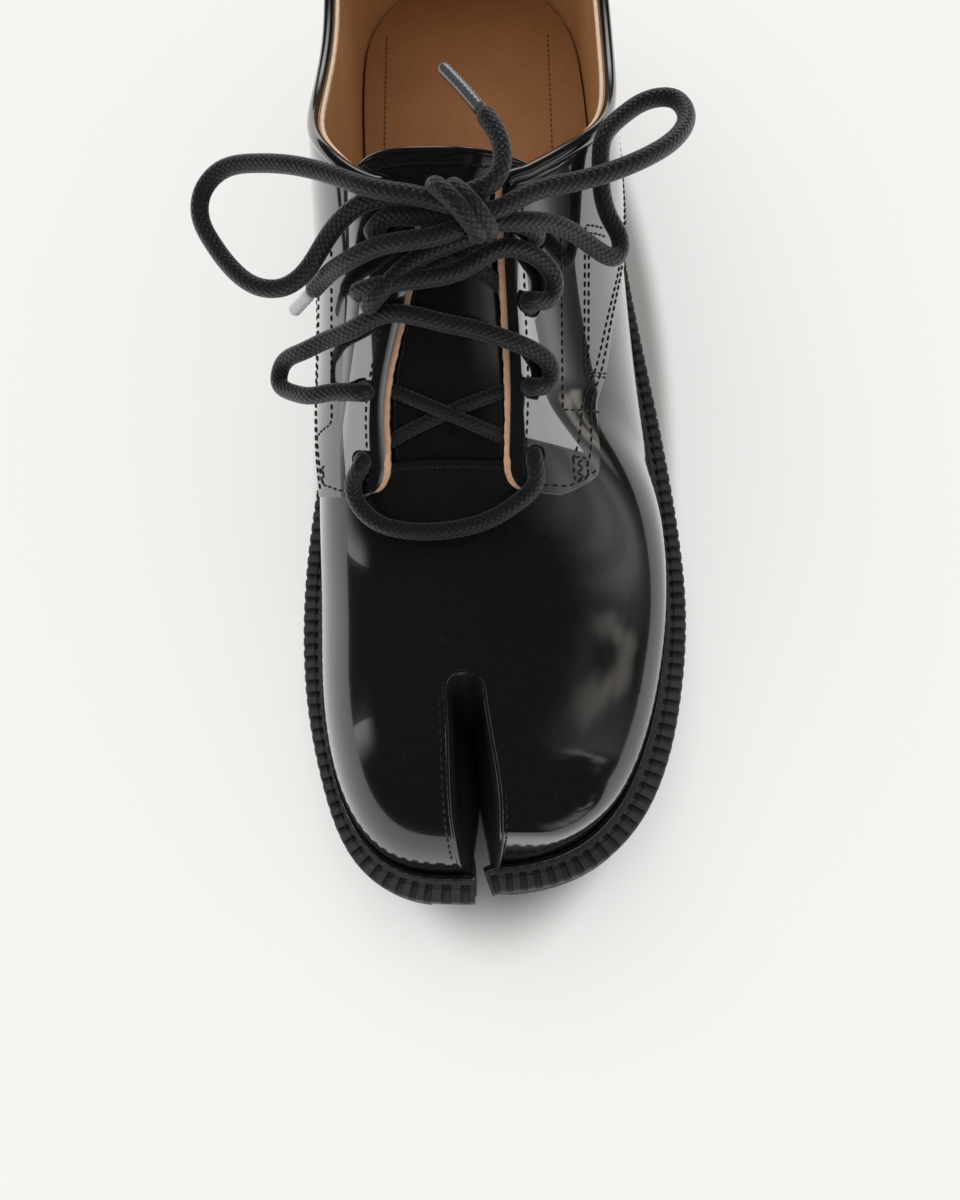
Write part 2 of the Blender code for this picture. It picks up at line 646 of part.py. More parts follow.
def main():
    fresh_scene()
    parts, cutters = collection("split_toe_shoe"), collection("cutters")
    patent = material("black_patent", (0.012, 0.012, 0.013), 0.12)
    quarter_patent = material("quarter_patent", (0.014, 0.014, 0.015), 0.12)
    tongue_patent = material("tongue_patent", (0.016, 0.016, 0.017), 0.15)
    rubber = material("sole_rubber", (0.03, 0.03, 0.031), 0.6)
    heel_rubber = material("heel_rubber", (0.025, 0.025, 0.026), 0.6)
    welt_rubber = material("welt_rubber", (0.045, 0.045, 0.047), 0.55)
    sock = material("sock_leather", (0.42, 0.27, 0.16), 0.6)
    cord = material("lace_cord", (0.02, 0.02, 0.021), 0.55)
    tips = material("lace_tip", (0.3, 0.3, 0.31), 0.25)

    cleft = cleft_cutter("cleft_cutter", 0.0, cutters)
    cleft_hollow = cleft_cutter("cleft_hollow", WALL, cutters)
    cleft_insole = cleft_cutter("cleft_insole", WALL + INSOLE_CLEARANCE, cutters)
    sole_slot = cleft_cutter("sole_slot", -0.3, cutters)
    topline = topline_cutter(cutters)
    eyelets = eyelet_cutter(cutters)

    for piece in (make_outsole(parts, rubber), make_welt(parts, welt_rubber)):
        cut(piece, sole_slot)
    make_heel(parts, heel_rubber)
    cut(make_insole(parts, sock), cleft_insole)

    hollow = last_form("hollow", -WALL, cutters, drop=8.0)
    cut(hollow, cleft_hollow)
    upper = last_form("upper", 0.0, parts, patent)
    for cutter in (hollow, cleft, topline, throat_cutter("throat_cutter", VAMP_EDGE, cutters), eyelets):
        cut(upper, cutter)

    under_quarters = last_form("under_quarters", GAP, cutters, drop=8.0)
    facings = throat_cutter("facing_cutter", THROAT[0].y, cutters)
    for name, side in (("quarter_medial", MEDIAL), ("quarter_lateral", LATERAL)):
        quarter = last_form(name, GAP + QUARTER_THICKNESS, parts, quarter_patent)
        cut(quarter, under_quarters)
        cut(quarter, quarter_region(name + "_region", side, cutters), "INTERSECT")
        cut(quarter, side_region(name + "_side", side, cutters), "INTERSECT")
        for cutter in (topline, facings, eyelets):
            cut(quarter, cutter)

    instep = np.linspace(-70, 40, 16).tolist()
    tongue_outside = -WALL - TONGUE_GAP
    tongue_inside = tongue_outside - TONGUE_THICKNESS
    under_tongue = last_form("under_tongue", tongue_inside, cutters, None, 8.0, [-75] + instep + [45])
    tongue = last_form("tongue", tongue_outside, parts, tongue_patent, 0.0, instep)
    cut(tongue, under_tongue)
    cut(tongue, tongue_region(cutters), "INTERSECT")

    make_lace(parts, cutters, cord, tips)


main()
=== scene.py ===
import json
import math

import bmesh
import bpy
import numpy as np
from mathutils import Matrix, Quaternion, Vector

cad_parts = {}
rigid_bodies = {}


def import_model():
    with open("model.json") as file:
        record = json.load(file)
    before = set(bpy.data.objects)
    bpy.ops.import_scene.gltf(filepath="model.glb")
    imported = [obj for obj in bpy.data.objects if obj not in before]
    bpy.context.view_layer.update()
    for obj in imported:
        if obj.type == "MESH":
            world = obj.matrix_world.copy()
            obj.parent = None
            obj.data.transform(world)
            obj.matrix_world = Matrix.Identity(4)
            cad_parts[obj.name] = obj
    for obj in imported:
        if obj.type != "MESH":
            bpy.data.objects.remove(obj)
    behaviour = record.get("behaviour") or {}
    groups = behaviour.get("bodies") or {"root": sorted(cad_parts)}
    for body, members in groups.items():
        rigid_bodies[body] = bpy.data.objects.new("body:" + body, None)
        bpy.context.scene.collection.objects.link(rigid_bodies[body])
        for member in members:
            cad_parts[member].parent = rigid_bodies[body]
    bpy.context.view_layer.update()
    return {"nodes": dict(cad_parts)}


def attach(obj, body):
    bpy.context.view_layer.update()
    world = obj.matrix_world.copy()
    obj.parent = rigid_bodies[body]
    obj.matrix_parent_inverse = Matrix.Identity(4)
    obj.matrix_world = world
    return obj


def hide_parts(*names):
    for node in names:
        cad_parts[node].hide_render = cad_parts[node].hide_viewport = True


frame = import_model()
mm = 0.001
medial, lateral = -1, 1  # inner and outer side of this left shoe
sideName = {medial: "medial", lateral: "lateral"}
print("frame loaded:", len(frame["nodes"]), "solids")

# The last that the upper is pulled over: its sections along the foot, in mm, y counted from the ball.
lastSections = {
    "y": [-136, -112, -86, -60, -38, 0, 35, 72, 105, 140, 167],
    "medial": [41.4, 43.9, 46.9, 48.3, 47.8, 45.0, 44.6, 43.4, 44.8, 44.3, 42.0],
    "lateral": [46.0, 44.4, 46.0, 47.8, 47.2, 43.0, 37.6, 34.4, 33.2, 30.2, 28.0],
    "ridge": [-4.5, -5.5, -7.5, -9.0, -9.0, -6.5, -5.5, -5.0, -6.0, -7.0, -7.0],
    "rise": [29.5, 36.5, 41.5, 46, 60, 90, 112, 124, 130, 134, 136],
    "boxMedial": [2.5, 2.45, 2.4, 2.4, 2.75, 2.75, 3.0, 2.5, 2.2, 2.1, 2.1],
    "boxLateral": [2.4, 2.35, 2.3, 2.15, 2.0, 1.85, 2.3, 2.5, 2.3, 2.2, 2.2],
}
lastEnds = {
    "toeTip": -135.2, "heelTip": 165.3, "toeMiddle": -8.0, "heelMiddle": -7.0,
    "toeMedial": (54, 3.0), "toeLateral": (88, 2.95), "heel": (44, 2.4),
    "riseMedial": (34, 2.4), "riseLateral": (22, 4.5), "lobeFront": 4.0,
    "undercut": 1.6, "tilt": 0.028, "heelLean": 5.0, "heelBulge": 24.0, "setback": 2.6,
    "slope": 0.5, "slopePower": 1.5, "slopeLength": 26.0, "lobeBox": 6.5, "lobeStart": (24, 84),
    "middleRun": (-100, 60), "tuckRun": (-20, 60), "tuckEase": 0.6, "leanLength": 60, "leanTop": 80,
    "leanSpan": 50, "setbackRun": (92, 130), "setbackSide": (-4, 4), "soleGap": 0.3,
}
soleSections = {
    "y": [-142, -114, -86, -55, -30, 0, 35, 70, 105, 140, 172],
    "under": [9.0, 3.2, 0.2, -0.8, -0.3, 4.0, 10.5, 16.0, 18.5, 19.0, 19.0],
    "top": [19.5, 14.0, 11.4, 10.6, 11.0, 13.6, 19.0, 24.0, 26.5, 27.0, 27.0],
    "revealMedial": [7.9, 5.0, 6.2, 7.0, 6.8, 6.4, 5.6, 4.6, 4.2, 4.0, 4.0],
    "revealLateral": [6.6, 7.8, 7.4, 7.0, 6.8, 6.4, 5.6, 4.6, 4.2, 4.0, 4.0],
}
cleft = {  # split between the toes: middle line, then its widths at each height
    "lineY": [-160, -118, -92, -70], "lineX": [-4.0, -4.3, -6.6, -8.6],
    "z": [-8, 12, 54, 80], "shift": [0, 0, -0.9, -1.5], "toeHalf": [3.0, 3.0, 6.3, 8.3],
    "rootHalf": [2.3, 2.3, 4.4, 5.8], "rootY": [-97, -97, -92.2, -88], "taperFrom": -128, "lineEnd": -75,
    "topGuess": 50.0, "rounds": 14,
}
topline = {
    "y": [0, 3, 7.5, 15, 27, 45, 66, 95, 128, 180],
    "z": [108, 106.4, 105, 103, 97.5, 89.5, 84.5, 84, 89.5, 99],
}
quarterSeam = {
    "y": [-44, -32, -20, -8, 5, 30, 60, 110, 180],
    "medial": [49, 53, 57, 60, 63, 66, 66, 64, 64],
    "lateral": [59, 63.2, 64.6, 66.6, 67.4, 67, 66.4, 65, 64],
}
throat = {
    "y": [-66, -46, -30, -20, -9, 14],
    "medial": [-26.6, -25.6, -25.2, -21.7, -17.9, -16.1], "lateral": [2.9, 3.7, 4.2, 3.8, 3.1, 2.4],
}
eyelets = {
    "y": [-41.5, -28.5, -13.5, -1.8], "diameter": 4.8,
    "medial": [-31.3, -30.1, -26.1, -24.5], "lateral": [9.7, 9.1, 8.7, 9.5],
}
middleY = 13.0  # the frame's origin lies this far behind the ball
tabFront, tabCorner, tabTop = -49.0, -44.0, 59.0
vampEdge, throatBack, heelFront = -43.5, 14.0, 110.0
quarterLift = 1.8
smallStep, smallTurn = 0.05, 0.006  # along and round the last, for its slopes
halvings = 36  # of a span in which a place is looked for
sharpAngle = math.radians(35)  # rubber edges turned more than this stay sharp


def spline(places, values):
    x, v = np.array(places, float), np.array(values, float)
    step = np.diff(x)
    matrix, right = np.eye(len(x)), np.zeros(len(x))
    for i in range(1, len(x) - 1):
        matrix[i, i - 1 : i + 2] = step[i - 1], 2 * (step[i - 1] + step[i]), step[i]
        right[i] = 6 * ((v[i + 1] - v[i]) / step[i] - (v[i] - v[i - 1]) / step[i - 1])
    bend = np.linalg.solve(matrix, right)

    def value(at):
        at = np.asarray(at, float)
        i = np.clip(np.searchsorted(x, at) - 1, 0, len(x) - 2)
        a, b = (x[i + 1] - at) / step[i], (at - x[i]) / step[i]
        curl = (a**3 - a) * bend[i] + (b**3 - b) * bend[i + 1]
        return a * v[i] + b * v[i + 1] + curl * step[i] ** 2 / 6

    return value


def splines(table):
    return {name: spline(table["y"], table[name]) for name in table if name not in ("y", "diameter")}


lastCurve, soleCurve = splines(lastSections), splines(soleSections)
seamCurve, throatCurve = splines(quarterSeam), splines(throat)
rimCurve = splines(topline)["z"]
revealCurve = {medial: soleCurve["revealMedial"], lateral: soleCurve["revealLateral"]}
cleftLine = spline(cleft["lineY"], cleft["lineX"])


def toplineZ(y):
    return np.where(np.asarray(y) < 0, 200.0, rimCurve(np.maximum(y, 0)))  # no rim ahead of the throat


def smoothStep(value, low, high):
    part = np.clip((np.asarray(value, float) - low) / (high - low), 0, 1)
    return part * part * (3 - 2 * part)


def roundEnd(distance, end):
    part = np.clip(np.asarray(distance, float) / end[0], 0, 1)
    return (1 - (1 - part) ** end[1]) ** (1 / end[1])


# A point on the last: s runs from -1 at the inner sole edge over 0 at the ridge to 1 at the outer edge.
def lastPoint(y, s):
    y, s = np.broadcast_arrays(np.asarray(y, float), np.asarray(s, float))
    outer = s > 0
    side = np.where(outer, 1.0, -1.0)
    turn = np.clip(1 - np.abs(s), 0, 1) * np.pi / 2
    toe, heel = y - lastEnds["toeTip"], lastEnds["heelTip"] - y
    heelShut = roundEnd(heel, lastEnds["heel"])
    toeShut = np.where(outer, roundEnd(toe, lastEnds["toeLateral"]), roundEnd(toe, lastEnds["toeMedial"]))
    shut = toeShut * heelShut
    rising = roundEnd(toe, lastEnds["riseMedial"])
    steeper = roundEnd(toe, lastEnds["riseLateral"]) - rising
    rising = rising + steeper * smoothStep(toe, 0, lastEnds["lobeFront"]) * outer
    toeMiddle, heelMiddle = lastEnds["toeMiddle"], lastEnds["heelMiddle"]
    middle = toeMiddle + (heelMiddle - toeMiddle) * smoothStep(y, *lastEnds["middleRun"])
    reach = np.where(outer, lastCurve["lateral"](y), lastCurve["medial"](y))
    edge = middle + (side * reach - middle) * shut
    ridge = middle + (lastCurve["ridge"](y) - middle) * rising * heelShut
    box = np.where(outer, lastCurve["boxLateral"](y), lastCurve["boxMedial"](y))
    lobe = smoothStep(-y, *lastEnds["lobeStart"]) * outer  # boxy outer toe, lower towards the little toe
    box = box + (lastEnds["lobeBox"] - box) * lobe
    up, over = np.maximum(np.sin(turn), 0), np.maximum(np.cos(turn), 0)
    size = (up**box + over**box) ** (1 / box)
    up, over = up / size, over / size
    slope = lastEnds["slope"] * lobe * smoothStep(toe, 0, lastEnds["slopeLength"])
    height = lastCurve["rise"](y) * rising * up * (1 - slope * over ** lastEnds["slopePower"])
    x = ridge + (edge - ridge) * over - lastEnds["tilt"] * height
    tuck = lastEnds["undercut"] * (1 - lastEnds["tuckEase"] * smoothStep(y, *lastEnds["tuckRun"])) * shut
    x = x - side * tuck * (1 - up ** (box / 2)) ** 3
    bulge = (np.minimum(height, lastEnds["leanTop"]) - lastEnds["heelBulge"]) / lastEnds["leanSpan"]
    lean = smoothStep(heel, lastEnds["leanLength"], 0) * bulge**2
    setback = smoothStep(-y, *lastEnds["setbackRun"]) * smoothStep(x - cleftLine(y), *lastEnds["setbackSide"])
    back = y - lastEnds["heelLean"] * lean + lastEnds["setback"] * setback
    return np.stack([x, back, soleCurve["top"](y) + lastEnds["soleGap"] + height], -1)


def lastNormal(y, s):
    along = lastPoint(np.add(y, smallStep), s) - lastPoint(np.subtract(y, smallStep), s)
    ahead, behind = np.clip(np.add(s, smallTurn), -1, 1), np.clip(np.subtract(s, smallTurn), -1, 1)
    normal = np.cross(lastPoint(y, ahead) - lastPoint(y, behind), along)
    return normal / np.maximum(np.linalg.norm(normal, axis=-1, keepdims=True), 1e-9)


def skin(y, s, lift=0.0):
    return lastPoint(y, s) + lastNormal(y, s) * np.asarray(lift, float)[..., None]


def bisect(isBefore, low, high):
    for _ in range(halvings):
        half = (low + high) / 2
        before = isBefore(half)
        low, high = np.where(before, half, low), np.where(before, high, half)
    return (low + high) / 2


# s of the last above a place in plan, and s where one side comes down to a line in side view.
def acrossAt(x, y):
    y = np.asarray(y, float)
    return bisect(lambda s: lastPoint(y, s)[..., 0] < x, np.full(y.shape, -1.0), np.full(y.shape, 1.0))


def acrossAtHeight(side, lineZ, y):
    y = np.asarray(y, float)

    def above(s):
        point = lastPoint(y, side * s)
        return point[..., 2] > lineZ(point[..., 1])

    return side * bisect(above, np.zeros(y.shape), np.ones(y.shape))


def soleEdge(y, side, grow):
    edge = side * np.ones_like(y)
    along = lastPoint(y + smallStep, edge) - lastPoint(y - smallStep, edge)
    level = side * np.stack([along[..., 1], -along[..., 0], np.zeros_like(y)], -1)
    level /= np.linalg.norm(level, axis=-1, keepdims=True)
    return lastPoint(y, edge) + level * np.asarray(grow, float)[..., None]


def cleftAt(z, grow):
    at = {name: np.interp(z, cleft["z"], cleft[name]) for name in ("shift", "toeHalf", "rootHalf", "rootY")}
    rootHalf = at["rootHalf"] + grow
    centre = at["rootY"] + grow - rootHalf

    def half(y):
        narrowing = (at["rootHalf"] - at["toeHalf"]) * smoothStep(y, cleft["taperFrom"], centre)
        return at["toeHalf"] + grow + narrowing

    return at["shift"], rootHalf, centre, half


def cleftEdgeX(side, y, z, grow=0.0):
    shift, rootHalf, centre, half = cleftAt(z, grow)
    arc = np.sqrt(np.clip(rootHalf**2 - (y - centre) ** 2, 0, None))
    return cleftLine(np.minimum(y, cleft["lineEnd"])) + shift + side * np.where(y < centre, half(y), arc)


# s of the edge of one toe along the cleft, or of the middle line behind it.
def acrossAtCleft(side, y, grow=0.0):
    y = np.asarray(y, float)

    def before(s):
        point = lastPoint(y, s)
        return point[..., 0] < cleftEdgeX(side, y, point[..., 2], grow)

    return bisect(before, np.full(y.shape, -1.0), np.full(y.shape, 1.0))


def toFrame(points):
    return (np.asarray(points, float) - (0, middleY, 0)) * mm


def travelAlong(points):
    return np.concatenate([[0], np.cumsum(np.linalg.norm(np.diff(points, axis=0), axis=1))])


def nearest(share, count):
    return np.rint(share * count).astype(int)


def crowdLow(low, high, count):
    return low + (high - low) * (1 - np.cos(np.linspace(0, np.pi / 2, count)))


def crowdHigh(low, high, count):
    return low + (high - low) * np.sin(np.linspace(0, np.pi / 2, count))


def joined(*runs):
    return np.concatenate([runs[0], *[run[1:] for run in runs[1:]]])


# A grid whose points are then moved into place; place gets each point's share across and along.
def gridShape(shape, columns, rows, place):
    made = bmesh.ops.create_grid(shape, x_segments=columns, y_segments=rows, size=1.0)["verts"]
    u = np.array([(vert.co.x + 1) / 2 for vert in made])
    w = np.array([(vert.co.y + 1) / 2 for vert in made])
    for vert, point in zip(made, toFrame(place(u, w))):
        vert.co = point
    return made, u, w


def shutSeams(shape, distance=0.02):
    bmesh.ops.remove_doubles(shape, verts=shape.verts, dist=distance * mm)
    bmesh.ops.dissolve_degenerate(shape, edges=shape.edges, dist=0.01 * mm)


def openEdges(shape):
    return [edge for edge in shape.edges if edge.is_boundary]


def joinHalves(half):
    shape = bmesh.new()
    half(shape, medial)
    half(shape, lateral)
    shutSeams(shape)
    bmesh.ops.recalc_face_normals(shape, faces=shape.faces)
    return shape


# Open sheets are turned so that most of their area looks away from a line inside the shoe.
def turnOut(shape, middle=(-6.0, 20.0, 30.0), outwards=True, lengthShare=0.15):
    shape.normal_update()
    inside = Vector(toFrame(middle))
    total = 0.0
    for face in shape.faces:
        away = face.calc_center_median() - inside
        away.y *= lengthShare
        total += face.normal.dot(away) * face.calc_area()
    if (total > 0) != outwards:
        bmesh.ops.reverse_faces(shape, faces=shape.faces)


def meshObject(name, shape):
    mesh = bpy.data.meshes.new(name)
    shape.normal_update()
    shape.to_mesh(mesh)
    shape.free()
    made = bpy.data.objects.new(name, mesh)
    bpy.context.scene.collection.objects.link(made)
    return made


def finishPiece(name, shape, finish, replaced=()):
    piece = meshObject(name, shape)
    piece.data.shade_smooth()
    piece.data.materials.append(finish)
    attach(piece, "root")
    if replaced:
        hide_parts(*replaced)
    return piece


def applyModifiers(piece):
    bpy.context.view_layer.update()
    seen = piece.evaluated_get(bpy.context.evaluated_depsgraph_get())
    mesh = bpy.data.meshes.new_from_object(seen)
    mesh.name = piece.name
    piece.modifiers.clear()
    piece.data = mesh


def cutAway(piece, cutter):
    cutting = piece.modifiers.new("cut", "BOOLEAN")
    cutting.operation, cutting.object, cutting.solver = "DIFFERENCE", cutter, "EXACT"
    applyModifiers(piece)
    bpy.data.objects.remove(cutter)


def thicken(piece, thickness):
    wall = piece.modifiers.new("wall", "SOLIDIFY")
    wall.thickness, wall.offset = thickness * mm, -1.0


def roundEdges(piece, width, segments=3, angle=50):
    edge = piece.modifiers.new("edge", "BEVEL")
    edge.width, edge.segments, edge.profile = width * mm, segments, 0.5
    edge.limit_method, edge.angle_limit = "ANGLE", math.radians(angle)
    edge.use_clamp_overlap = True


def runThrough(points, step):
    points = np.asarray(points, float)
    travel = travelAlong(points)
    at = np.linspace(0, travel[-1], max(3, round(travel[-1] / step) + 1))
    line = np.stack([spline(travel, points[:, k])(at) for k in range(3)], -1)
    return line, travelAlong(line)


def tubeFrames(line):
    aim = np.gradient(line, axis=0)
    aim /= np.linalg.norm(aim, axis=1, keepdims=True)
    across = np.zeros_like(line)
    now = np.array(Vector(aim[0]).orthogonal().normalized())
    for i, direction in enumerate(aim):
        now = now - direction * now.dot(direction)
        now /= np.linalg.norm(now)
        across[i] = now
    return across, np.cross(aim, across)


# A round cord along a line in mm. Its UV map counts turns across and millimetres along.
def tubeShape(shape, points, radius, sides, step, roundOff=False, swell=None):
    line, travel = runThrough(points, step)
    across, over = tubeFrames(line)
    size = radius * np.ones(len(line))
    if swell:
        size = size * swell(travel)
    if roundOff:
        near = np.clip(np.minimum(travel, travel[-1] - travel) / radius, 0, 1)
        size = size * np.sqrt(np.clip(1 - (1 - near) ** 2, 0.04, 1))
    rows = len(line) - 1
    layer = shape.loops.layers.uv.verify()

    def place(u, w):
        i = nearest(w, rows)
        turn = 2 * np.pi * u[:, None]
        return line[i] + (across[i] * np.cos(turn) + over[i] * np.sin(turn)) * size[i][:, None]

    made, u, w = gridShape(shape, sides, rows, place)
    spot = {vert: (a, travel[int(round(b * rows))]) for vert, a, b in zip(made, u, w)}
    faces = {face for vert in made for face in vert.link_faces}
    for face in faces:
        for loop in face.loops:
            loop[layer].uv = spot[loop.vert]
    bmesh.ops.remove_doubles(shape, verts=made, dist=0.001 * mm)
    bmesh.ops.holes_fill(shape, edges=openEdges(shape), sides=sides + 2)
    return line, travel


def layTube(name, points, values, finish, replaced=(), roundOff=True, swell=None):
    shape = bmesh.new()
    sizes = values["radius"], values["sides"], values["step"]
    line, travel = tubeShape(shape, points, *sizes, roundOff, swell)
    return finishPiece(name, shape, finish, replaced), toFrame(line), travel[-1] * mm


# Camera at the photograph's place: above the toe, looking back along the shoe.
view = {
    "at": (2.0, -178.85, 291.75), "towards": (-4.2, -73.0, 16.0), "focalPixels": 1060, "imageHeight": 1200,
}


def setCamera():
    at, towards = Vector(view["at"]) * mm, Vector(view["towards"]) * mm
    aim = (towards - at).normalized()
    right = aim.cross(Vector((0, 1, 0))).normalized()
    up = right.cross(aim)
    lens = bpy.data.cameras.new("photoCamera")
    lens.sensor_fit, lens.sensor_height = "VERTICAL", 36
    lens.lens = lens.sensor_height * view["focalPixels"] / view["imageHeight"]
    lens.clip_start = 0.01
    camera = bpy.data.objects.new("photoCamera", lens)
    camera.matrix_world = Matrix((right, up, -aim)).transposed().to_4x4()
    camera.location = at
    bpy.context.scene.collection.objects.link(camera)
    bpy.context.scene.camera = camera


setCamera()
print("camera set")


# Materials
def addNode(tree, kind, settings=(), sockets=()):
    made = tree.nodes.new("ShaderNode" + kind)
    for name, value in dict(settings).items():
        setattr(made, name, value)
    for name, value in dict(sockets).items():
        if isinstance(value, bpy.types.NodeSocket):
            tree.links.new(value, made.inputs[name])
        else:
            made.inputs[name].default_value = value
    return made


def startGroup(name, inputs, outputs):
    group = bpy.data.node_groups.new(name, "ShaderNodeTree")
    for label, value in inputs.items():
        group.interface.new_socket(label, in_out="INPUT", socket_type="NodeSocketFloat").default_value = value
    for label in outputs:
        group.interface.new_socket(label, in_out="OUTPUT", socket_type="NodeSocketFloat")
    return group, group.nodes.new("NodeGroupInput").outputs, group.nodes.new("NodeGroupOutput").inputs


def placeGroup(tree, group, values):
    made = tree.nodes.new("ShaderNodeGroup")
    made.node_tree = group
    for name, value in values.items():
        made.inputs[name].default_value = value
    return made.outputs


def startFinish(name, values):
    finish = bpy.data.materials.new(name)
    finish.use_nodes = True
    shader = finish.node_tree.nodes["Principled BSDF"]
    for label, value in values.items():
        shader.inputs[label].default_value = value
    return finish, finish.node_tree, shader


def blendColours(tree, share, low, high):
    ramp = addNode(tree, "ValToRGB", sockets={"Fac": share})
    ramp.color_ramp.elements[0].color = (*low, 1)
    ramp.color_ramp.elements[1].color = (*high, 1)
    return ramp.outputs["Color"]


def remap(tree, value, low, high, fromLow=0.0, fromHigh=1.0):
    sockets = {"Value": value, "From Min": fromLow, "From Max": fromHigh, "To Min": low, "To Max": high}
    return addNode(tree, "MapRange", sockets=sockets).outputs["Result"]


def softStep(tree, value, fromLow, fromHigh):
    sockets = {"Value": value, "From Min": fromLow, "From Max": fromHigh}
    return addNode(tree, "MapRange", {"interpolation_type": "SMOOTHSTEP"}, sockets).outputs["Result"]


def mathNode(tree, operation, first, second=0.0):
    return addNode(tree, "Math", {"operation": operation}, {0: first, 1: second}).outputs[0]


def times(tree, first, second):
    return mathNode(tree, "MULTIPLY", first, second)


def noise(tree, place, scale, detail):
    sockets = {"Vector": place, "Scale": scale, "Detail": detail}
    return addNode(tree, "TexNoise", sockets=sockets).outputs["Fac"]


def makeLeatherGroup():
    group, given, result = startGroup(
        "leatherSurface", {"Wave Scale": 40, "Grain Scale": 900, "Grain Share": 0.1}, ["Height", "Tone"])
    place = addNode(group, "TexCoord").outputs["Object"]
    wave = noise(group, place, given["Wave Scale"], 1.0)
    grain = noise(group, place, given["Grain Scale"], 3.0)
    group.links.new(mathNode(group, "ADD", wave, times(group, grain, given["Grain Share"])), result["Height"])
    group.links.new(grain, result["Tone"])
    return group


def makePoreGroup():
    group, given, result = startGroup(
        "leatherPores", {"Pore Scale": 700, "Patch Scale": 60}, ["Height", "Tone"])
    place = addNode(group, "TexCoord").outputs["Object"]
    pore = addNode(group, "TexVoronoi", sockets={"Vector": place, "Scale": given["Pore Scale"]})
    group.links.new(pore.outputs["Distance"], result["Height"])
    mixed = times(group, pore.outputs["Distance"], 0.3)
    patch = times(group, noise(group, place, given["Patch Scale"], 4.0), 0.8)
    group.links.new(mathNode(group, "ADD", mixed, patch), result["Tone"])
    return group


def makeDustGroup():
    group, given, result = startGroup("fineDust", {"Speck Scale": 1500, "Amount": 0.5}, ["Mask"])
    place = addNode(group, "TexCoord").outputs["Object"]
    few = remap(group, noise(group, place, given["Speck Scale"], 2.0), 0.0, 1.0, 0.66, 0.8)
    patch = times(group, few, noise(group, place, 35.0, 2.0))
    group.links.new(times(group, patch, given["Amount"]), result["Mask"])
    return group


# Two sets of yarns that cross over and under each other round the cord.
def makeBraidGroup():
    group, given, result = startGroup("braid", {"Yarns": 9, "Lay": 0.42}, ["Height", "Tone"])
    spot = addNode(group, "SeparateXYZ", sockets={"Vector": addNode(group, "UVMap").outputs["UV"]})
    turn = times(group, spot.outputs["X"], given["Yarns"])
    travel = times(group, spot.outputs["Y"], given["Lay"])
    rising, falling = mathNode(group, "ADD", turn, travel), mathNode(group, "SUBTRACT", turn, travel)

    def ridge(value):
        inside = mathNode(group, "SUBTRACT", mathNode(group, "FRACT", value), 0.5)
        return mathNode(group, "SUBTRACT", 1.0, times(group, mathNode(group, "ABSOLUTE", inside), 2.0))

    def yarn(own, other):
        return times(group, mathNode(group, "POWER", own, 0.5), mathNode(group, "POWER", other, 0.25))

    cells = mathNode(group, "ADD", mathNode(group, "FLOOR", rising), mathNode(group, "FLOOR", falling))
    swap = mathNode(group, "ABSOLUTE", mathNode(group, "MODULO", cells, 2.0))
    first, second = ridge(rising), ridge(falling)
    kept = times(group, yarn(first, second), mathNode(group, "SUBTRACT", 1.0, swap))
    taken = times(group, yarn(second, first), swap)
    group.links.new(mathNode(group, "ADD", kept, taken), result["Height"])
    group.links.new(swap, result["Tone"])
    return group


leatherGroup, poreGroup = makeLeatherGroup(), makePoreGroup()
dustGroup, braidGroup = makeDustGroup(), makeBraidGroup()


# A finish takes its colour, roughness and bump from one pattern, with dust over it where the look has some.
def makeFinish(name, group, values):
    finish, tree, shader = startFinish(name, values["shader"])
    pattern = placeGroup(tree, group, values["pattern"])
    by = pattern[values.get("by", "Tone")]
    colour = blendColours(tree, by, values["dark"], values["light"])
    if "dust" in values:
        mask = placeGroup(tree, dustGroup, values["dust"])["Mask"]
        sockets = {0: mask, 6: colour, 7: (*values["dustColour"], 1)}  # share and the two colours
        colour = addNode(tree, "Mix", {"data_type": "RGBA"}, sockets).outputs[2]
    tree.links.new(colour, shader.inputs["Base Color"])
    tree.links.new(remap(tree, by, *values["roughness"]), shader.inputs["Roughness"])
    sockets = {"Height": pattern["Height"], "Strength": values["bump"], "Distance": values["depth"] * mm}
    tree.links.new(addNode(tree, "Bump", sockets=sockets).outputs["Normal"], shader.inputs["Normal"])
    return finish


patentLook = {
    "shader": {"Coat Weight": 1.0, "Coat Roughness": 0.03, "Coat IOR": 1.5},
    "dark": (0.004, 0.004, 0.0045), "light": (0.009, 0.009, 0.0095), "roughness": (0.12, 0.22),
    "pattern": {"Wave Scale": 45, "Grain Scale": 1100, "Grain Share": 0.012}, "bump": 0.5, "depth": 0.25,
    "dust": {"Speck Scale": 1400, "Amount": 0.25}, "dustColour": (0.12, 0.12, 0.12),
}
gussetLook = {
    **patentLook, "shader": {"Coat Weight": 0.7, "Coat Roughness": 0.15, "Coat IOR": 1.5},
    "dark": (0.016, 0.016, 0.0165), "light": (0.032, 0.032, 0.033), "roughness": (0.35, 0.5),
}
quarterLook = {
    **patentLook, "shader": {"Coat Weight": 1.0, "Coat Roughness": 0.03, "Coat IOR": 2.3},
    "pattern": {"Wave Scale": 60, "Grain Scale": 1100, "Grain Share": 0.014},
}
tongueLook = {
    **patentLook, "shader": {"Coat Weight": 1.0, "Coat Roughness": 0.08, "Coat IOR": 1.5},
    "pattern": {"Wave Scale": 70, "Grain Scale": 900, "Grain Share": 0.03},
}
upperPatent = makeFinish("upperPatent", leatherGroup, patentLook)
gussetPatent = makeFinish("gussetPatent", leatherGroup, gussetLook)
quarterPatent = makeFinish("quarterPatent", leatherGroup, quarterLook)
tonguePatent = makeFinish("tonguePatent", leatherGroup, tongueLook)

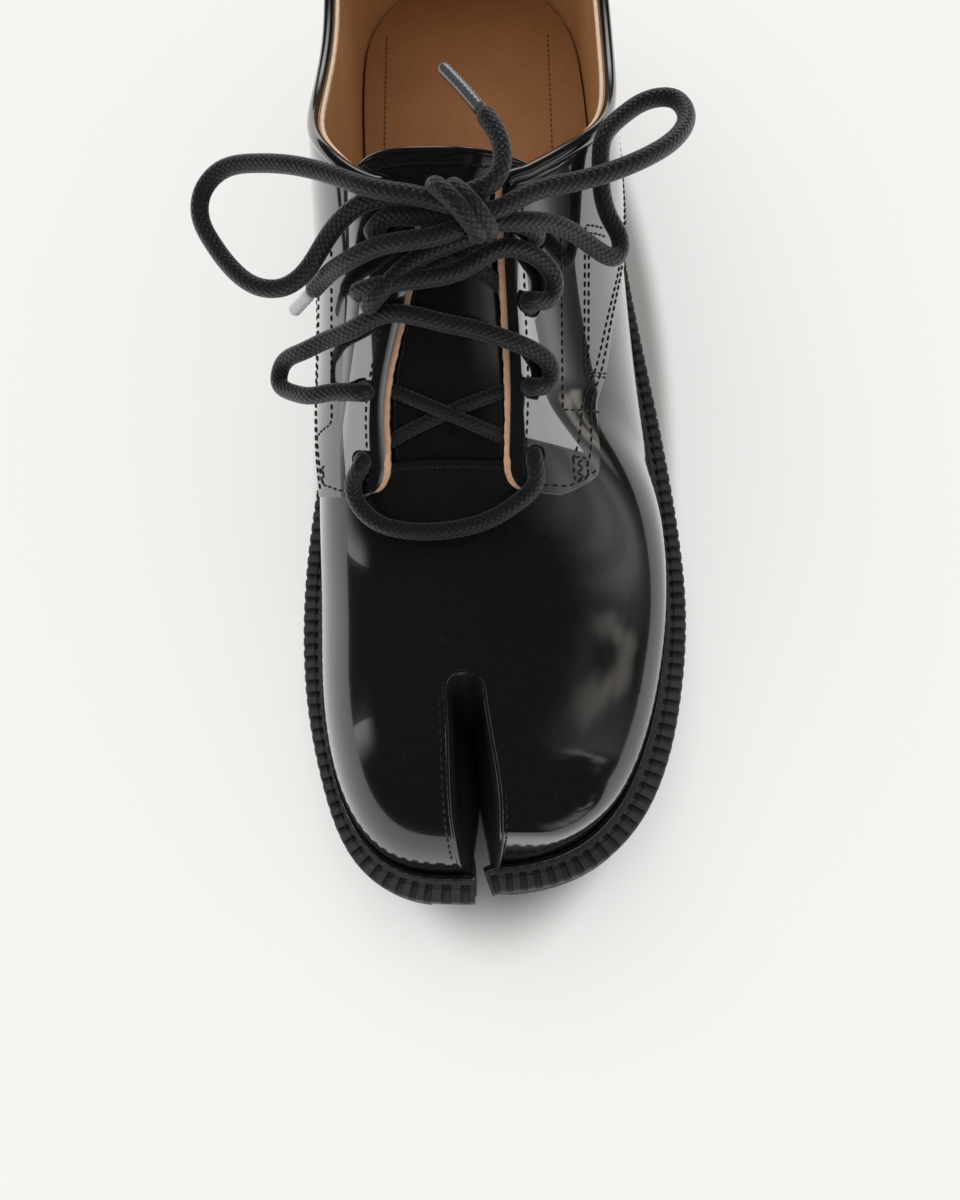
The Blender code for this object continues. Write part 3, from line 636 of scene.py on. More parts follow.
liningLook = {
    "shader": {"Specular IOR Level": 0.35}, "dark": (0.44, 0.22, 0.095), "light": (0.68, 0.40, 0.19),
    "roughness": (0.47, 0.67), "bump": 0.25, "depth": 0.15, "pattern": {"Pore Scale": 900, "Patch Scale": 45},
}
sockLook = {
    **liningLook, "dark": (0.22, 0.09, 0.032), "light": (0.36, 0.17, 0.07), "roughness": (0.42, 0.62),
    "bump": 0.3, "pattern": {"Pore Scale": 800, "Patch Scale": 40},
}
rawEdgeLook = {
    **liningLook, "dark": (0.42, 0.23, 0.14), "light": (0.70, 0.44, 0.29), "roughness": (0.67, 0.87),
    "bump": 0.6, "depth": 0.3, "pattern": {"Pore Scale": 1600, "Patch Scale": 300},
}
creamEdgeLook = {**rawEdgeLook, "dark": (0.58, 0.38, 0.25), "light": (0.84, 0.64, 0.48)}
liningLeather = makeFinish("liningLeather", poreGroup, liningLook)
creamEdgeLeather = makeFinish("creamEdgeLeather", poreGroup, creamEdgeLook)
sockLeather = makeFinish("sockLeather", poreGroup, sockLook)
rawEdgeLeather = makeFinish("rawEdgeLeather", poreGroup, rawEdgeLook)

weltLook = {
    "shader": {"Specular IOR Level": 0.45}, "dark": (0.024, 0.024, 0.0245), "light": (0.05, 0.05, 0.051),
    "roughness": (0.42, 0.62), "bump": 0.25, "depth": 0.1,
    "pattern": {"Pore Scale": 1500, "Patch Scale": 120}, "dust": {"Speck Scale": 1200, "Amount": 0.35},
    "dustColour": (0.2, 0.195, 0.19),
}
soleLook = {**weltLook, "dark": (0.018, 0.018, 0.018), "light": (0.038, 0.038, 0.039)}
heelLook = {**weltLook, "dark": (0.016, 0.016, 0.016), "light": (0.034, 0.034, 0.035)}
weltRubber = makeFinish("weltRubber", poreGroup, weltLook)
soleRubber = makeFinish("soleRubber", poreGroup, soleLook)
heelRubber = makeFinish("heelRubber", poreGroup, heelLook)

cordLook = {
    "shader": {
        "Sheen Weight": 0.22, "Sheen Roughness": 0.35, "Sheen Tint": (0.8, 0.86, 1.0, 1),
        "Coat Weight": 0.25, "Coat Roughness": 0.3},
    "dark": (0.002, 0.002, 0.002), "light": (0.013, 0.013, 0.0135), "by": "Height", "roughness": (0.6, 0.34),
    "bump": 0.9, "depth": 0.35, "pattern": {"Yarns": 8, "Lay": 0.62},
    "dust": {"Speck Scale": 1800, "Amount": 0.3}, "dustColour": (0.14, 0.14, 0.14),
}
threadLook = {
    "shader": {"Sheen Weight": 0.05}, "dark": (0.003, 0.003, 0.003), "light": (0.012, 0.012, 0.012),
    "roughness": (0.3, 0.5), "bump": 0.4, "depth": 0.08,
    "pattern": {"Wave Scale": 2500, "Grain Scale": 5000, "Grain Share": 0.3},
}
sockThreadLook = {**threadLook, "dark": (0.07, 0.03, 0.012), "light": (0.13, 0.06, 0.025)}
darkTipLook = {
    "shader": {"Metallic": 0.6, "Coat Weight": 0.6, "Coat Roughness": 0.05},
    "dark": (0.1, 0.1, 0.11), "light": (0.2, 0.2, 0.21), "roughness": (0.16, 0.28), "bump": 0.3, "depth": 0.1,
    "pattern": {"Wave Scale": 300, "Grain Scale": 3000, "Grain Share": 0.1},
}
clearTipLook = {
    **darkTipLook, "shader": {"Metallic": 0.0, "Coat Weight": 0.6, "Coat Roughness": 0.05},
    "dark": (0.62, 0.63, 0.65), "light": (0.78, 0.79, 0.8),
}
waxedBraid = makeFinish("waxedBraid", braidGroup, cordLook)
stitchThread = makeFinish("stitchThread", leatherGroup, threadLook)
sockThread = makeFinish("sockThread", leatherGroup, sockThreadLook)
darkTip = makeFinish("darkTip", leatherGroup, darkTipLook)
clearTip = makeFinish("clearTip", leatherGroup, clearTipLook)
print("materials made")


# The lace: its runs in mm, y counted from the ball as for the last. Bars start and end in an eyelet.
lace = {"radius": 2.1, "sides": 20, "step": 0.8, "inside": (4.5, 1.0)}
laceTip = {"radius": 1.55, "sides": 20, "step": 0.35, "crimp": 0.04, "crimpRate": 2.2}
laceBars = {
    "laceBarLow": (0, "lace_bar_low", [
        (-31.2, -44.6, 67.6), (-33.4, -47.6, 64.9), (-33.3, -51.1, 62.2), (-28.9, -56.2, 60.5),
        (-20.3, -59.0, 60.1), (-10.7, -59.1, 60.6), (-1.0, -56.8, 61.4), (6.2, -53.2, 63.9),
        (10.3, -48.8, 66.0), (10.0, -45.1, 68.1)]),
    "laceBarMid": (1, "lace_bar_mid", [
        (-29.7, -32.2, 79.0), (-35.7, -31.0, 77.6), (-42.6, -29.9, 74.4), (-49.0, -26.2, 70.2),
        (-52.4, -22.4, 68.8), (-51.7, -19.4, 70.6), (-46.1, -18.9, 76.0), (-39.4, -19.0, 80.8),
        (-31.0, -20.0, 87.4), (-24.7, -19.6, 91.4), (-18.5, -20.4, 92.4), (-10.6, -21.6, 90.8),
        (-3.2, -22.4, 89.2), (4.4, -23.8, 86.8), (10.7, -24.8, 83.2), (13.9, -27.0, 79.6),
        (12.7, -30.0, 77.8), (8.9, -30.9, 78.9)]),
    "laceBarHigh": (2, "lace_bar_high", [
        (-26.8, -14.6, 91.6), (-29.9, -15.2, 93.6), (-27.1, -16.2, 96.6), (-21.0, -16.4, 98.6),
        (-14.2, -15.4, 98.6), (-6.9, -13.4, 98.6), (-1.8, -10.9, 99.9), (2.7, -8.8, 100.2),
        (7.7, -8.0, 98.2), (12.2, -8.7, 94.6), (14.6, -11.1, 90.9), (13.0, -14.4, 89.1),
        (8.7, -15.8, 90.9)]),
    "laceBase": (3, None, [
        (-26.1, -5.1, 101.8), (-23.5, -4.8, 105.2), (-18.4, -5.6, 107.2), (-12.6, -6.6, 108.2),
        (-6.8, -7.4, 108.4), (-1.4, -6.6, 107.2), (3.5, -5.0, 104.9), (7.5, -4.2, 102.2),
        (9.8, -3.6, 100.0)]),
}
laceBow = {
    "knotWrap": [
        (-9.6, -3.2, 107.6), (-11.4, -2.6, 111.4), (-11.3, -4.6, 115.0), (-8.0, -8.6, 115.8),
        (-4.1, -11.6, 112.2), (-2.4, -11.8, 108.6), (-4.1, -9.4, 106.8)],
    "knotTwin": [
        (-5.2, -2.6, 107.4), (-7.4, -2.4, 111.0), (-7.4, -4.4, 114.2), (-4.6, -7.8, 114.6),
        (-1.2, -10.4, 111.0), (-0.2, -10.6, 107.8), (-2.0, -8.8, 106.4)],
    "laceRise": [
        (-28.2, -18.6, 92.2), (-25.9, -18.8, 96.2), (-22.6, -16.6, 98.6), (-18.4, -13.4, 100.4),
        (-12.7, -10.6, 102.0), (-6.4, -9.0, 103.6), (-2.0, -8.4, 105.4)],
    "loopMedial": [
        (-6.7, -7.4, 111.8), (-15.2, -5.2, 112.8), (-24.4, -2.9, 112.6), (-34.4, 3.5, 110.0),
        (-44.1, 9.2, 107.0), (-54.3, 13.7, 103.0), (-63.2, 14.9, 99.0), (-67.3, 11.9, 96.0),
        (-67.9, 6.9, 94.0), (-64.9, 0.6, 92.0), (-59.8, -6.2, 91.0), (-53.3, -11.2, 91.0),
        (-47.5, -12.1, 92.0), (-41.8, -9.9, 95.0), (-37.6, -6.1, 99.0), (-32.8, -3.0, 103.6),
        (-25.0, -1.6, 108.0), (-16.2, -3.4, 109.2), (-7.6, -6.4, 109.4)],
    "loopLateral": [
        (-5.1, -8.0, 110.8), (1.1, -7.3, 110.6), (8.1, -3.6, 111.1), (18.4, -0.2, 110.8),
        (27.7, 2.8, 111.0), (36.0, 8.1, 110.0), (43.0, 17.2, 107.0), (44.6, 25.0, 105.0),
        (42.2, 29.8, 104.0), (36.9, 30.5, 103.0), (30.9, 27.0, 102.0), (26.1, 21.0, 101.0),
        (25.5, 16.2, 99.0), (25.8, 11.1, 96.0), (27.9, 5.8, 92.0), (30.3, 1.6, 89.4),
        (29.6, -2.1, 88.8), (24.9, -3.5, 92.2), (18.7, -3.4, 98.4), (13.0, -4.8, 103.4),
        (6.7, -7.2, 106.8), (-1.4, -8.6, 108.4)],
    "endMedial": [
        (-5.4, -9.6, 108.6), (-11.8, -11.4, 107.6), (-17.7, -12.0, 107.0), (-24.9, -12.0, 105.0),
        (-31.3, -12.1, 101.0), (-37.2, -9.9, 93.4), (-42.5, -9.4, 86.0)],
    "endCollar": [
        (-10.2, -6.6, 109.6), (-7.7, -5.8, 111.4), (-3.2, -4.4, 113.2), (0.4, -3.6, 114.6),
        (2.7, 1.0, 116.0), (1.7, 7.4, 117.0), (-1.7, 13.9, 117.0)],
}
laceTips = {
    "tipMedial": ("aglet_medial", clearTip, [
        (-42.2, -9.36, 86.4), (-45.5, -9.95, 82.7), (-48.0, -10.5, 80.0)]),
    "tipCollar": ("aglet_collar", darkTip, [
        (-1.4, 13.4, 117.0), (-6.2, 21.7, 116.2), (-10.5, 28.8, 115.0)]),
}


def eyeletAt(side, number):
    y, x = np.array(eyelets["y"][number]), eyelets[sideName[side]][number]
    s = acrossAt(x, y)
    return skin(y, s, quarterLift), lastNormal(y, s)


def crimp(travel):
    return 1 - laceTip["crimp"] * np.sin(travel * laceTip["crimpRate"]) ** 8


def tieLace():
    cords = {}
    for name, (number, node, points) in laceBars.items():
        ends = []
        for side in (medial, lateral):
            centre, axis = eyeletAt(side, number)
            ends.append([centre - axis * depth for depth in lace["inside"]])
        route = ends[0] + [np.array(point) for point in points] + ends[1][::-1]
        cords[name] = layTube(name, route, lace, waxedBraid, [node] if node else (), False)
    for name, points in laceBow.items():
        cords[name] = layTube(name, points, lace, waxedBraid, ["lace_bow"])
    tips = {}
    for name, (node, finish, points) in laceTips.items():
        tips[name], _, _ = layTube(name, points, laceTip, finish, [node], True, crimp)
    return cords, tips


cords, tips = tieLace()


toeTip, heelTip = lastEnds["toeTip"], lastEnds["heelTip"]

# Upper: vamp with two toes and the sides that run under the quarters to the heel.
upperForm = {"sideColumns": 26, "topColumns": 28, "wall": 1.4, "edge": 0.35, "seamLap": 9.0, "throatGap": 6.0}
upperRows = joined(
    crowdLow(toeTip, -100, 44), np.linspace(-100, -94.6, 8), crowdHigh(-94.6, -90.2, 14),
    np.linspace(-90.2, vampEdge, 28), np.linspace(vampEdge, heelFront, 70), crowdHigh(heelFront, heelTip, 34))


def upperHalf(shape, side):
    low, high = upperForm["sideColumns"], upperForm["topColumns"]
    seam, rows = seamCurve[sideName[side]], len(upperRows) - 1
    top = acrossAtCleft(side, np.minimum(upperRows, vampEdge))
    behind = np.maximum(upperRows, vampEdge)
    lap = acrossAtHeight(side, lambda y: seam(y) + upperForm["seamLap"], behind)
    beside = throatCurve[sideName[side]](np.minimum(behind, throatBack)) + side * upperForm["throatGap"]
    throatEdge = acrossAt(beside, behind)
    lap = side * np.where(behind < throatBack, np.maximum(np.abs(lap), np.abs(throatEdge)), np.abs(lap))
    edgeRow = int(np.argmin(np.abs(upperRows - vampEdge)))
    share = (lap[edgeRow] - side) / (top[edgeRow] - side)
    lap = np.where(upperRows < vampEdge - 0.01, side + (top - side) * share, lap)

    def place(u, w):
        i = nearest(w, rows)
        k = nearest(u, low + high)
        below, above = np.clip(k / low, 0, 1), np.clip((k - low) / high, 0, 1)
        return skin(upperRows[i], side + (lap[i] - side) * below + (top[i] - lap[i]) * above)

    made, u, w = gridShape(shape, low + high, rows, place)
    spare = [v for v, a, b in zip(made, u, w) if round(b * rows) > edgeRow and round(a * (low + high)) > low]
    bmesh.ops.delete(shape, geom=spare, context="VERTS")


def makeUpper():
    shape = joinHalves(upperHalf)
    turnOut(shape)
    piece = finishPiece("upperShell", shape, upperPatent, ["upper"])
    thicken(piece, upperForm["wall"])
    roundEdges(piece, upperForm["edge"])


makeUpper()

# Gusset between the toes: one strip from the front of the inner toe round the root to the outer toe.
gussetForm = {
    "sideRows": 46, "arcRows": 20, "depth": 18, "under": 0.5, "fold": -0.2, "frontGap": 2.7, "curve": 1.25,
    "wall": 0.3, "pleat": 0.07, "topDrop": 0.6, "footDrop": 0.2, "frontRun": (114, 138), "rootLine": -97,
    "rootRun": (-99, -95),
}


def cleftFront(side):
    def outside(y):
        edge = lastPoint(y, side * 1.0)
        return side * edge[..., 0] < side * cleftEdgeX(side, y, edge[..., 2])

    return float(bisect(outside, np.array(toeTip), np.array(-100.0)))


cleftFronts = {side: cleftFront(side) for side in (medial, lateral)}


# part runs 0 to 1 along the inner toe, 1 to 2 round the root and 2 to 3 along the outer toe.
def cleftWall(part, z, grow):
    shift, rootHalf, centre, half = cleftAt(z, grow)
    inner = part < 1.5
    front = np.where(inner, cleftFronts[medial], cleftFronts[lateral])
    y = front + (centre - front) * np.clip(np.where(inner, part, 3 - part), 0, 1)
    width = np.where(inner, medial, lateral) * half(y)
    turn = (np.clip(part, 1, 2) - 1.5) * np.pi
    onArc = (part > 1) & (part < 2)
    y = np.where(onArc, centre + rootHalf * np.cos(turn), y)
    return cleftLine(y) + shift + np.where(onArc, rootHalf * np.sin(turn), width), y


def cleftTop(part, grow, lift=0.0):
    z = np.full(part.shape, cleft["topGuess"])
    for _ in range(cleft["rounds"]):
        x, y = cleftWall(part, z, grow)
        s = acrossAt(x, y)
        z = lastPoint(y, s)[..., 2]
    return x, y, s, z + lift


def makeGusset():
    parts = joined(
        np.linspace(0, 1, gussetForm["sideRows"]), np.linspace(1, 2, gussetForm["arcRows"]),
        np.linspace(2, 3, gussetForm["sideRows"]))
    rows = len(parts) - 1
    x, y, _, top = cleftTop(parts, gussetForm["under"])
    top = top - gussetForm["topDrop"]
    floor = soleCurve["top"](y) - gussetForm["footDrop"]
    gap = gussetForm["fold"] + gussetForm["frontGap"] * smoothStep(-y, *gussetForm["frontRun"])
    middle = cleftLine(np.minimum(y, gussetForm["rootLine"]))
    foot = middle + np.sign(x - middle) * np.minimum(gap, np.abs(x - middle))
    footY = np.minimum(y, y - (y - gussetForm["rootLine"]) * smoothStep(y, *gussetForm["rootRun"]))

    def place(u, w):
        i = nearest(w, rows)
        share = u ** gussetForm["curve"] + gussetForm["pleat"] * np.sin(3 * np.pi * u)
        z = top[i] + (floor[i] - top[i]) * u
        return np.stack([x[i] + (foot[i] - x[i]) * share, y[i] + (footY[i] - y[i]) * u, z], -1)

    shape = bmesh.new()
    gridShape(shape, gussetForm["depth"], rows, place)
    shutSeams(shape, 0.005)
    shape.normal_update()
    inward = sum(face.normal.x * (face.calc_center_median().x - cleftLine(-110) * mm) for face in shape.faces)
    if inward > 0:
        bmesh.ops.reverse_faces(shape, faces=shape.faces)
    piece = finishPiece("toeGusset", shape, gussetPatent)
    thicken(piece, gussetForm["wall"])


# Folded edge of the leather round the cleft
foldForm = {"radius": 0.55, "sides": 10, "step": 0.8, "away": 0.4, "lift": -0.2}


def makeCleftFold():
    part = joined(np.linspace(0.02, 1, 60), np.linspace(1, 2, 30), np.linspace(2, 2.98, 60))
    _, y, s, _ = cleftTop(part, foldForm["away"])
    layTube("cleftFold", skin(y, s, foldForm["lift"]), foldForm, upperPatent)


makeGusset()
makeCleftFold()
print("upper and gusset made")

# Quarters: the lacing panels laid over the upper, with punched eyelets and an edge rolled into the throat.
quarterForm = {"columns": 40, "wall": 1.4, "edge": 0.3, "roll": 1.3, "rollWidth": 3.4, "corner": 5.0}
quarterRows = joined(
    np.linspace(tabFront, tabCorner, 12), np.linspace(tabCorner, 2, 40), np.linspace(2, throatBack, 14),
    np.linspace(throatBack, heelFront, 46), crowdHigh(heelFront, heelTip, 30))


def facingX(side, y):
    radius = quarterForm["corner"]
    back = np.clip((tabCorner - y) / radius, 0, 1)
    return throatCurve[sideName[side]](np.minimum(y, throatBack)) + side * radius * (1 - np.sqrt(1 - back**2))


def quarterBottomZ(side):
    seam = seamCurve[sideName[side]]
    slope = (seam(tabCorner) - tabTop) / (tabCorner - tabFront)
    return lambda y: np.where(y < tabCorner, tabTop + slope * (y - tabFront), seam(y))


def rimAt(side, y):
    return acrossAtHeight(side, toplineZ, y)


def quarterTop(side, rows):
    facing, rim = acrossAt(facingX(side, rows), rows), rimAt(side, rows)
    return side * np.maximum(np.where(rows < throatBack, np.abs(facing), 0), np.abs(rim))


def quarterSkin(side, y, s):
    edge = skin(y, quarterTop(side, y), quarterLift)
    away = np.linalg.norm(skin(y, s, quarterLift) - edge, axis=-1)
    drop = quarterForm["roll"] * np.clip(1 - away / quarterForm["rollWidth"], 0, 1) ** 2
    return skin(y, s, quarterLift - drop)


def eyeletCutter(side):
    shape = bmesh.new()
    for number in range(len(eyelets["y"])):
        centre, axis = eyeletAt(side, number)
        turn = Vector(axis).to_track_quat("Z", "Y").to_matrix().to_4x4()
        radius = eyelets["diameter"] / 2 * mm
        bmesh.ops.create_cone(
            shape, cap_ends=True, segments=28, radius1=radius, radius2=radius, depth=8 * mm,
            matrix=Matrix.Translation(toFrame(centre)) @ turn)
    return meshObject("eyeletCutter", shape)


def makeQuarter(side):
    low = acrossAtHeight(side, quarterBottomZ(side), quarterRows)
    top, rows = quarterTop(side, quarterRows), len(quarterRows) - 1

    def place(u, w):
        i = nearest(w, rows)
        return quarterSkin(side, quarterRows[i], low[i] + (top[i] - low[i]) * u)

    shape = bmesh.new()
    gridShape(shape, quarterForm["columns"], rows, place)
    shutSeams(shape)
    turnOut(shape)
    name = "quarter" + sideName[side].title()
    piece = finishPiece(name, shape, quarterPatent, ["quarter_" + sideName[side]])
    thicken(piece, quarterForm["wall"])
    cutAway(piece, eyeletCutter(side))
    roundEdges(piece, quarterForm["edge"])


makeQuarter(medial)
makeQuarter(lateral)

# Raw cut edge of the facing's lining, which shows beside the throat.
facingForm = {
    "end": {medial: 0.5, lateral: 4.6}, "frontGap": 0.35, "rows": 90, "columns": 12, "proud": 1.15,
    "under": 4.0, "wall": 1.0, "edge": 0.15, "lift": 0.1, "tilt": 0.55, "tabLift": 0.65, "tabRun": 3.5,
    "wear": 0.12, "wearRates": (2.1, 0.83),
}


def makeFacingEdge(side):
    rows = np.linspace(tabFront + facingForm["frontGap"], facingForm["end"][side], facingForm["rows"])
    reach = facingForm["under"] + facingForm["proud"]

    def place(u, w):
        y = rows[nearest(w, len(rows) - 1)]
        x = facingX(side, y) + side * (facingForm["under"] - reach * u)
        fast, slow = facingForm["wearRates"]
        atEdge = u > 0.99
        wear = facingForm["wear"] * np.sin(y * fast + side) * np.sin(y * slow) * atEdge
        onVamp = smoothStep(-y, -vampEdge - facingForm["tabRun"], -vampEdge)
        lift = facingForm["lift"] - facingForm["tilt"] * u * (1 - onVamp) + facingForm["tabLift"] * onVamp
        return skin(y, acrossAt(x + wear, y), lift)

    shape = bmesh.new()
    gridShape(shape, facingForm["columns"], len(rows) - 1, place)
    turnOut(shape)
    name = "facingEdge" + sideName[side].title()
    piece = finishPiece(name, shape, rawEdgeLeather)
    thicken(piece, facingForm["wall"])
    roundEdges(piece, facingForm["edge"], 2)


makeFacingEdge(medial)
makeFacingEdge(lateral)

# Collar: a rolled black rim and the tan lining inside it.
collarForm = {
    "roll": {"radius": 1.6, "sides": 14, "step": 1.2, "lift": 0.7, "drop": 0.25},
    "edge": {"radius": 0.62, "sides": 10, "step": 1.2, "lift": -1.45, "drop": 0.1},
    "liningLift": -2.1, "liningWall": 1.3, "liningDrop": 0.2, "liningEdge": 0.35, "liningGap": 5,
    "columns": 30,
}
collarRows = joined(np.linspace(4.4, 120, 64), crowdHigh(120, heelTip - 0.02, 18))


def makeRim(name, values, edgeAt, finish):
    halves = [skin(collarRows, edgeAt(side, collarRows), values["lift"]) for side in (medial, lateral)]
    line = np.concatenate([halves[0], halves[1][::-1]]) - (0, 0, values["drop"])
    layTube(name, line, values, finish)


def liningHalf(shape, side):
    rows = joined(
        np.linspace(-70, 3, 30), np.linspace(3, throatBack, 16), np.linspace(throatBack, heelFront, 40),
        crowdHigh(heelFront, heelTip, 28))
    facing = acrossAt(facingX(side, rows) + side * collarForm["liningGap"], rows)
    rim = acrossAtHeight(side, lambda y: toplineZ(y) - collarForm["liningDrop"], rows)
    top = side * np.where(rows > 6, np.abs(rim), np.maximum(np.abs(facing), np.abs(rim)))

    def place(u, w):
        i = nearest(w, len(rows) - 1)
        return skin(rows[i], side + (top[i] - side) * u, collarForm["liningLift"])

    gridShape(shape, collarForm["columns"], len(rows) - 1, place)


def makeLining():
    shape = joinHalves(liningHalf)
    turnOut(shape, outwards=False)
    piece = finishPiece("lining", shape, liningLeather)
    thicken(piece, collarForm["liningWall"])
    roundEdges(piece, collarForm["liningEdge"])


makeRim("collarRoll", collarForm["roll"], quarterTop, upperPatent)
makeRim("liningEdge", collarForm["edge"], rimAt, creamEdgeLeather)
makeLining()

# Tongue
tongueForm = {
    "front": -56.0, "back": 9.0, "flare": 3.0, "corner": 2.2, "half": 26.6, "frontHalf": 20.0, "sink": 3.0,
    "wall": 1.8, "edge": 0.6, "curl": 0.9, "curlFrom": 0.86, "columns": 44, "rows": 52,
    "lip": {"radius": 0.95, "sides": 12, "step": 1.0, "reach": 0.97, "along": 0.995, "lift": -0.75},
}


def tongueSpot(a, w):
    back = tongueForm["back"] + tongueForm["flare"] * a**2 - tongueForm["corner"] * np.abs(a) ** 12
    y = tongueForm["front"] + (back - tongueForm["front"]) * w
    half = tongueForm["frontHalf"] + (tongueForm["half"] - tongueForm["frontHalf"]) * w
    return acrossAt(lastPoint(y, 0.0)[..., 0] + half * a, y), y


def tongueSkin(a, w, lift=0.0):
    s, y = tongueSpot(a, w)
    curl = tongueForm["curl"] * smoothStep(w, tongueForm["curlFrom"], 1.0)
    return skin(y, s, lift - tongueForm["sink"] + curl)


def makeTongue():
    shape = bmesh.new()
    columns, rows = tongueForm["columns"], tongueForm["rows"]
    gridShape(shape, columns, rows, lambda u, w: tongueSkin(np.sin((2 * u - 1) * np.pi / 2), w))
    turnOut(shape, (-6, 0, 20))
    piece = finishPiece("tongueFlap", shape, tonguePatent, ["tongue"])
    thicken(piece, tongueForm["wall"])
    roundEdges(piece, tongueForm["edge"], 4)
    lip = tongueForm["lip"]
    across = np.linspace(-lip["reach"], lip["reach"], 60)
    line = tongueSkin(across, np.full(60, lip["along"]), lip["lift"])
    layTube("tongueLip", line, lip, tonguePatent)


makeTongue()

# Insole sock
sockForm = {
    "inset": 2.9, "height": 3.3, "crown": 0.9, "wall": 2.4, "edge": 0.7, "columns": 22, "splitGap": 2.6,
    "splitHeight": 14.0, "closeRun": (-92, -40),
}


def sockHalf(shape, side):
    rows = joined(
        crowdLow(toeTip + 3, -104, 18), np.linspace(-104, -96, 12), np.linspace(-96, heelFront, 60),
        crowdHigh(heelFront, heelTip, 30))
    edge = soleEdge(rows, side, -sockForm["inset"])
    other = soleEdge(rows, -side, -sockForm["inset"])
    split = cleftEdgeX(side, edge[:, 1], sockForm["splitHeight"], sockForm["splitGap"])
    middle = cleftLine(np.minimum(edge[:, 1], cleft["lineEnd"]))
    centre = (edge[:, 0] + other[:, 0]) / 2
    closed = np.where(np.abs(split - middle) < 1e-6, centre, split)
    inner = split + (closed - split) * smoothStep(edge[:, 1], *sockForm["closeRun"])

    def place(u, w):
        i = nearest(w, len(rows) - 1)
        x = edge[i, 0] + (inner[i] - edge[i, 0]) * u
        crown = sockForm["crown"] * (1 - (1 - u) ** 2)
        return np.stack([x, edge[i, 1], soleCurve["top"](rows[i]) + sockForm["height"] - crown], -1)

    gridShape(shape, sockForm["columns"], len(rows) - 1, place)


def makeSock():
    shape = joinHalves(sockHalf)
    turnOut(shape, (-6, 20, -200))
    piece = finishPiece("insoleSock", shape, sockLeather, ["insole"])
    thicken(piece, sockForm["wall"])
    roundEdges(piece, sockForm["edge"])


makeSock()
print("quarters, collar, tongue and insole made")

# Welt: a smooth band beside the upper, a row of pits and a ribbed outer band, open at the cleft.
weltForm = {
    "pitch": 3.5, "notchDepth": 1.5, "pitDepth": 1.1, "slot": (-5.3, -1.0), "endLength": 8.0, "reveal": 7.0,
    "inner": 0.5, "middle": 0.6, "notch": [0.24, 0.3, 0.7, 0.76],
    "offsets": [0.0, 0.12, 0.24, 0.27, 0.3, 0.5, 0.7, 0.73, 0.76, 0.88],
}
weltProfile = [  # distance from the upper, height, share of the notch, share of the pit
    (0.5, 0.0, 0, 0), (0.5, 3.5, 0, 0), (0.6, 4.0, 0, 0), (0.85, 4.35, 0, 0), (1.2, 4.45, 0, 0),
    (2.3, 4.45, 0, 0), (2.6, 4.4, 0, 0.1), (2.8, 4.2, 0, 0.8), (3.0, 4.05, 0, 1), (3.3, 4.05, 0, 1),
    (3.5, 4.2, 0, 0.8), (3.7, 4.4, 0.1, 0.1), (3.9, 4.45, 0.75, 0), (4.05, 4.45, 1, 0), (5.2, 4.45, 1, 0),
    (6.3, 4.4, 1, 0), (6.6, 4.25, 1, 0), (6.85, 3.95, 1, 0), (7.0, 3.5, 0.9, 0), (7.0, 2.6, 0.25, 0),
    (7.0, 1.6, 0, 0), (7.0, 0.2, 0, 0), (6.8, 0.0, 0, 0), (0.5, 0.0, 0, 0),
]


# Round the sole from the outer toe over the heel to the inner toe.
def outlinePath(count=3000):
    y = toeTip + (heelTip - toeTip) * (1 - np.cos(np.linspace(0, np.pi, count))) / 2
    runs = [(lateral, y), (medial, y[::-1][1:])]
    rows = np.concatenate([run for _, run in runs])
    foot = np.concatenate([soleEdge(run, side, 0.0) for side, run in runs])
    grown = np.concatenate([soleEdge(run, side, 1.0) for side, run in runs])
    reveal = np.concatenate([revealCurve[side](run) for side, run in runs])
    return rows, foot, grown - foot, reveal


def weltPath():
    rows, foot, out, reveal = outlinePath()
    outerX = (foot + out * reveal[:, None])[:, 0]
    low, high = weltForm["slot"]
    first, gap = int(np.argmax(outerX > high)), int(np.argmax(outerX > low))
    order = np.concatenate([np.arange(first, len(rows)), np.arange(1, gap)])
    middle = foot[order] + out[order] * (reveal[order] * weltForm["middle"])[:, None]
    travel = travelAlong(middle)
    moving = np.concatenate([[True], np.diff(travel) > 1e-6])
    order, travel = order[moving], travel[moving]
    return rows[order], foot[order], out[order], reveal[order], travel


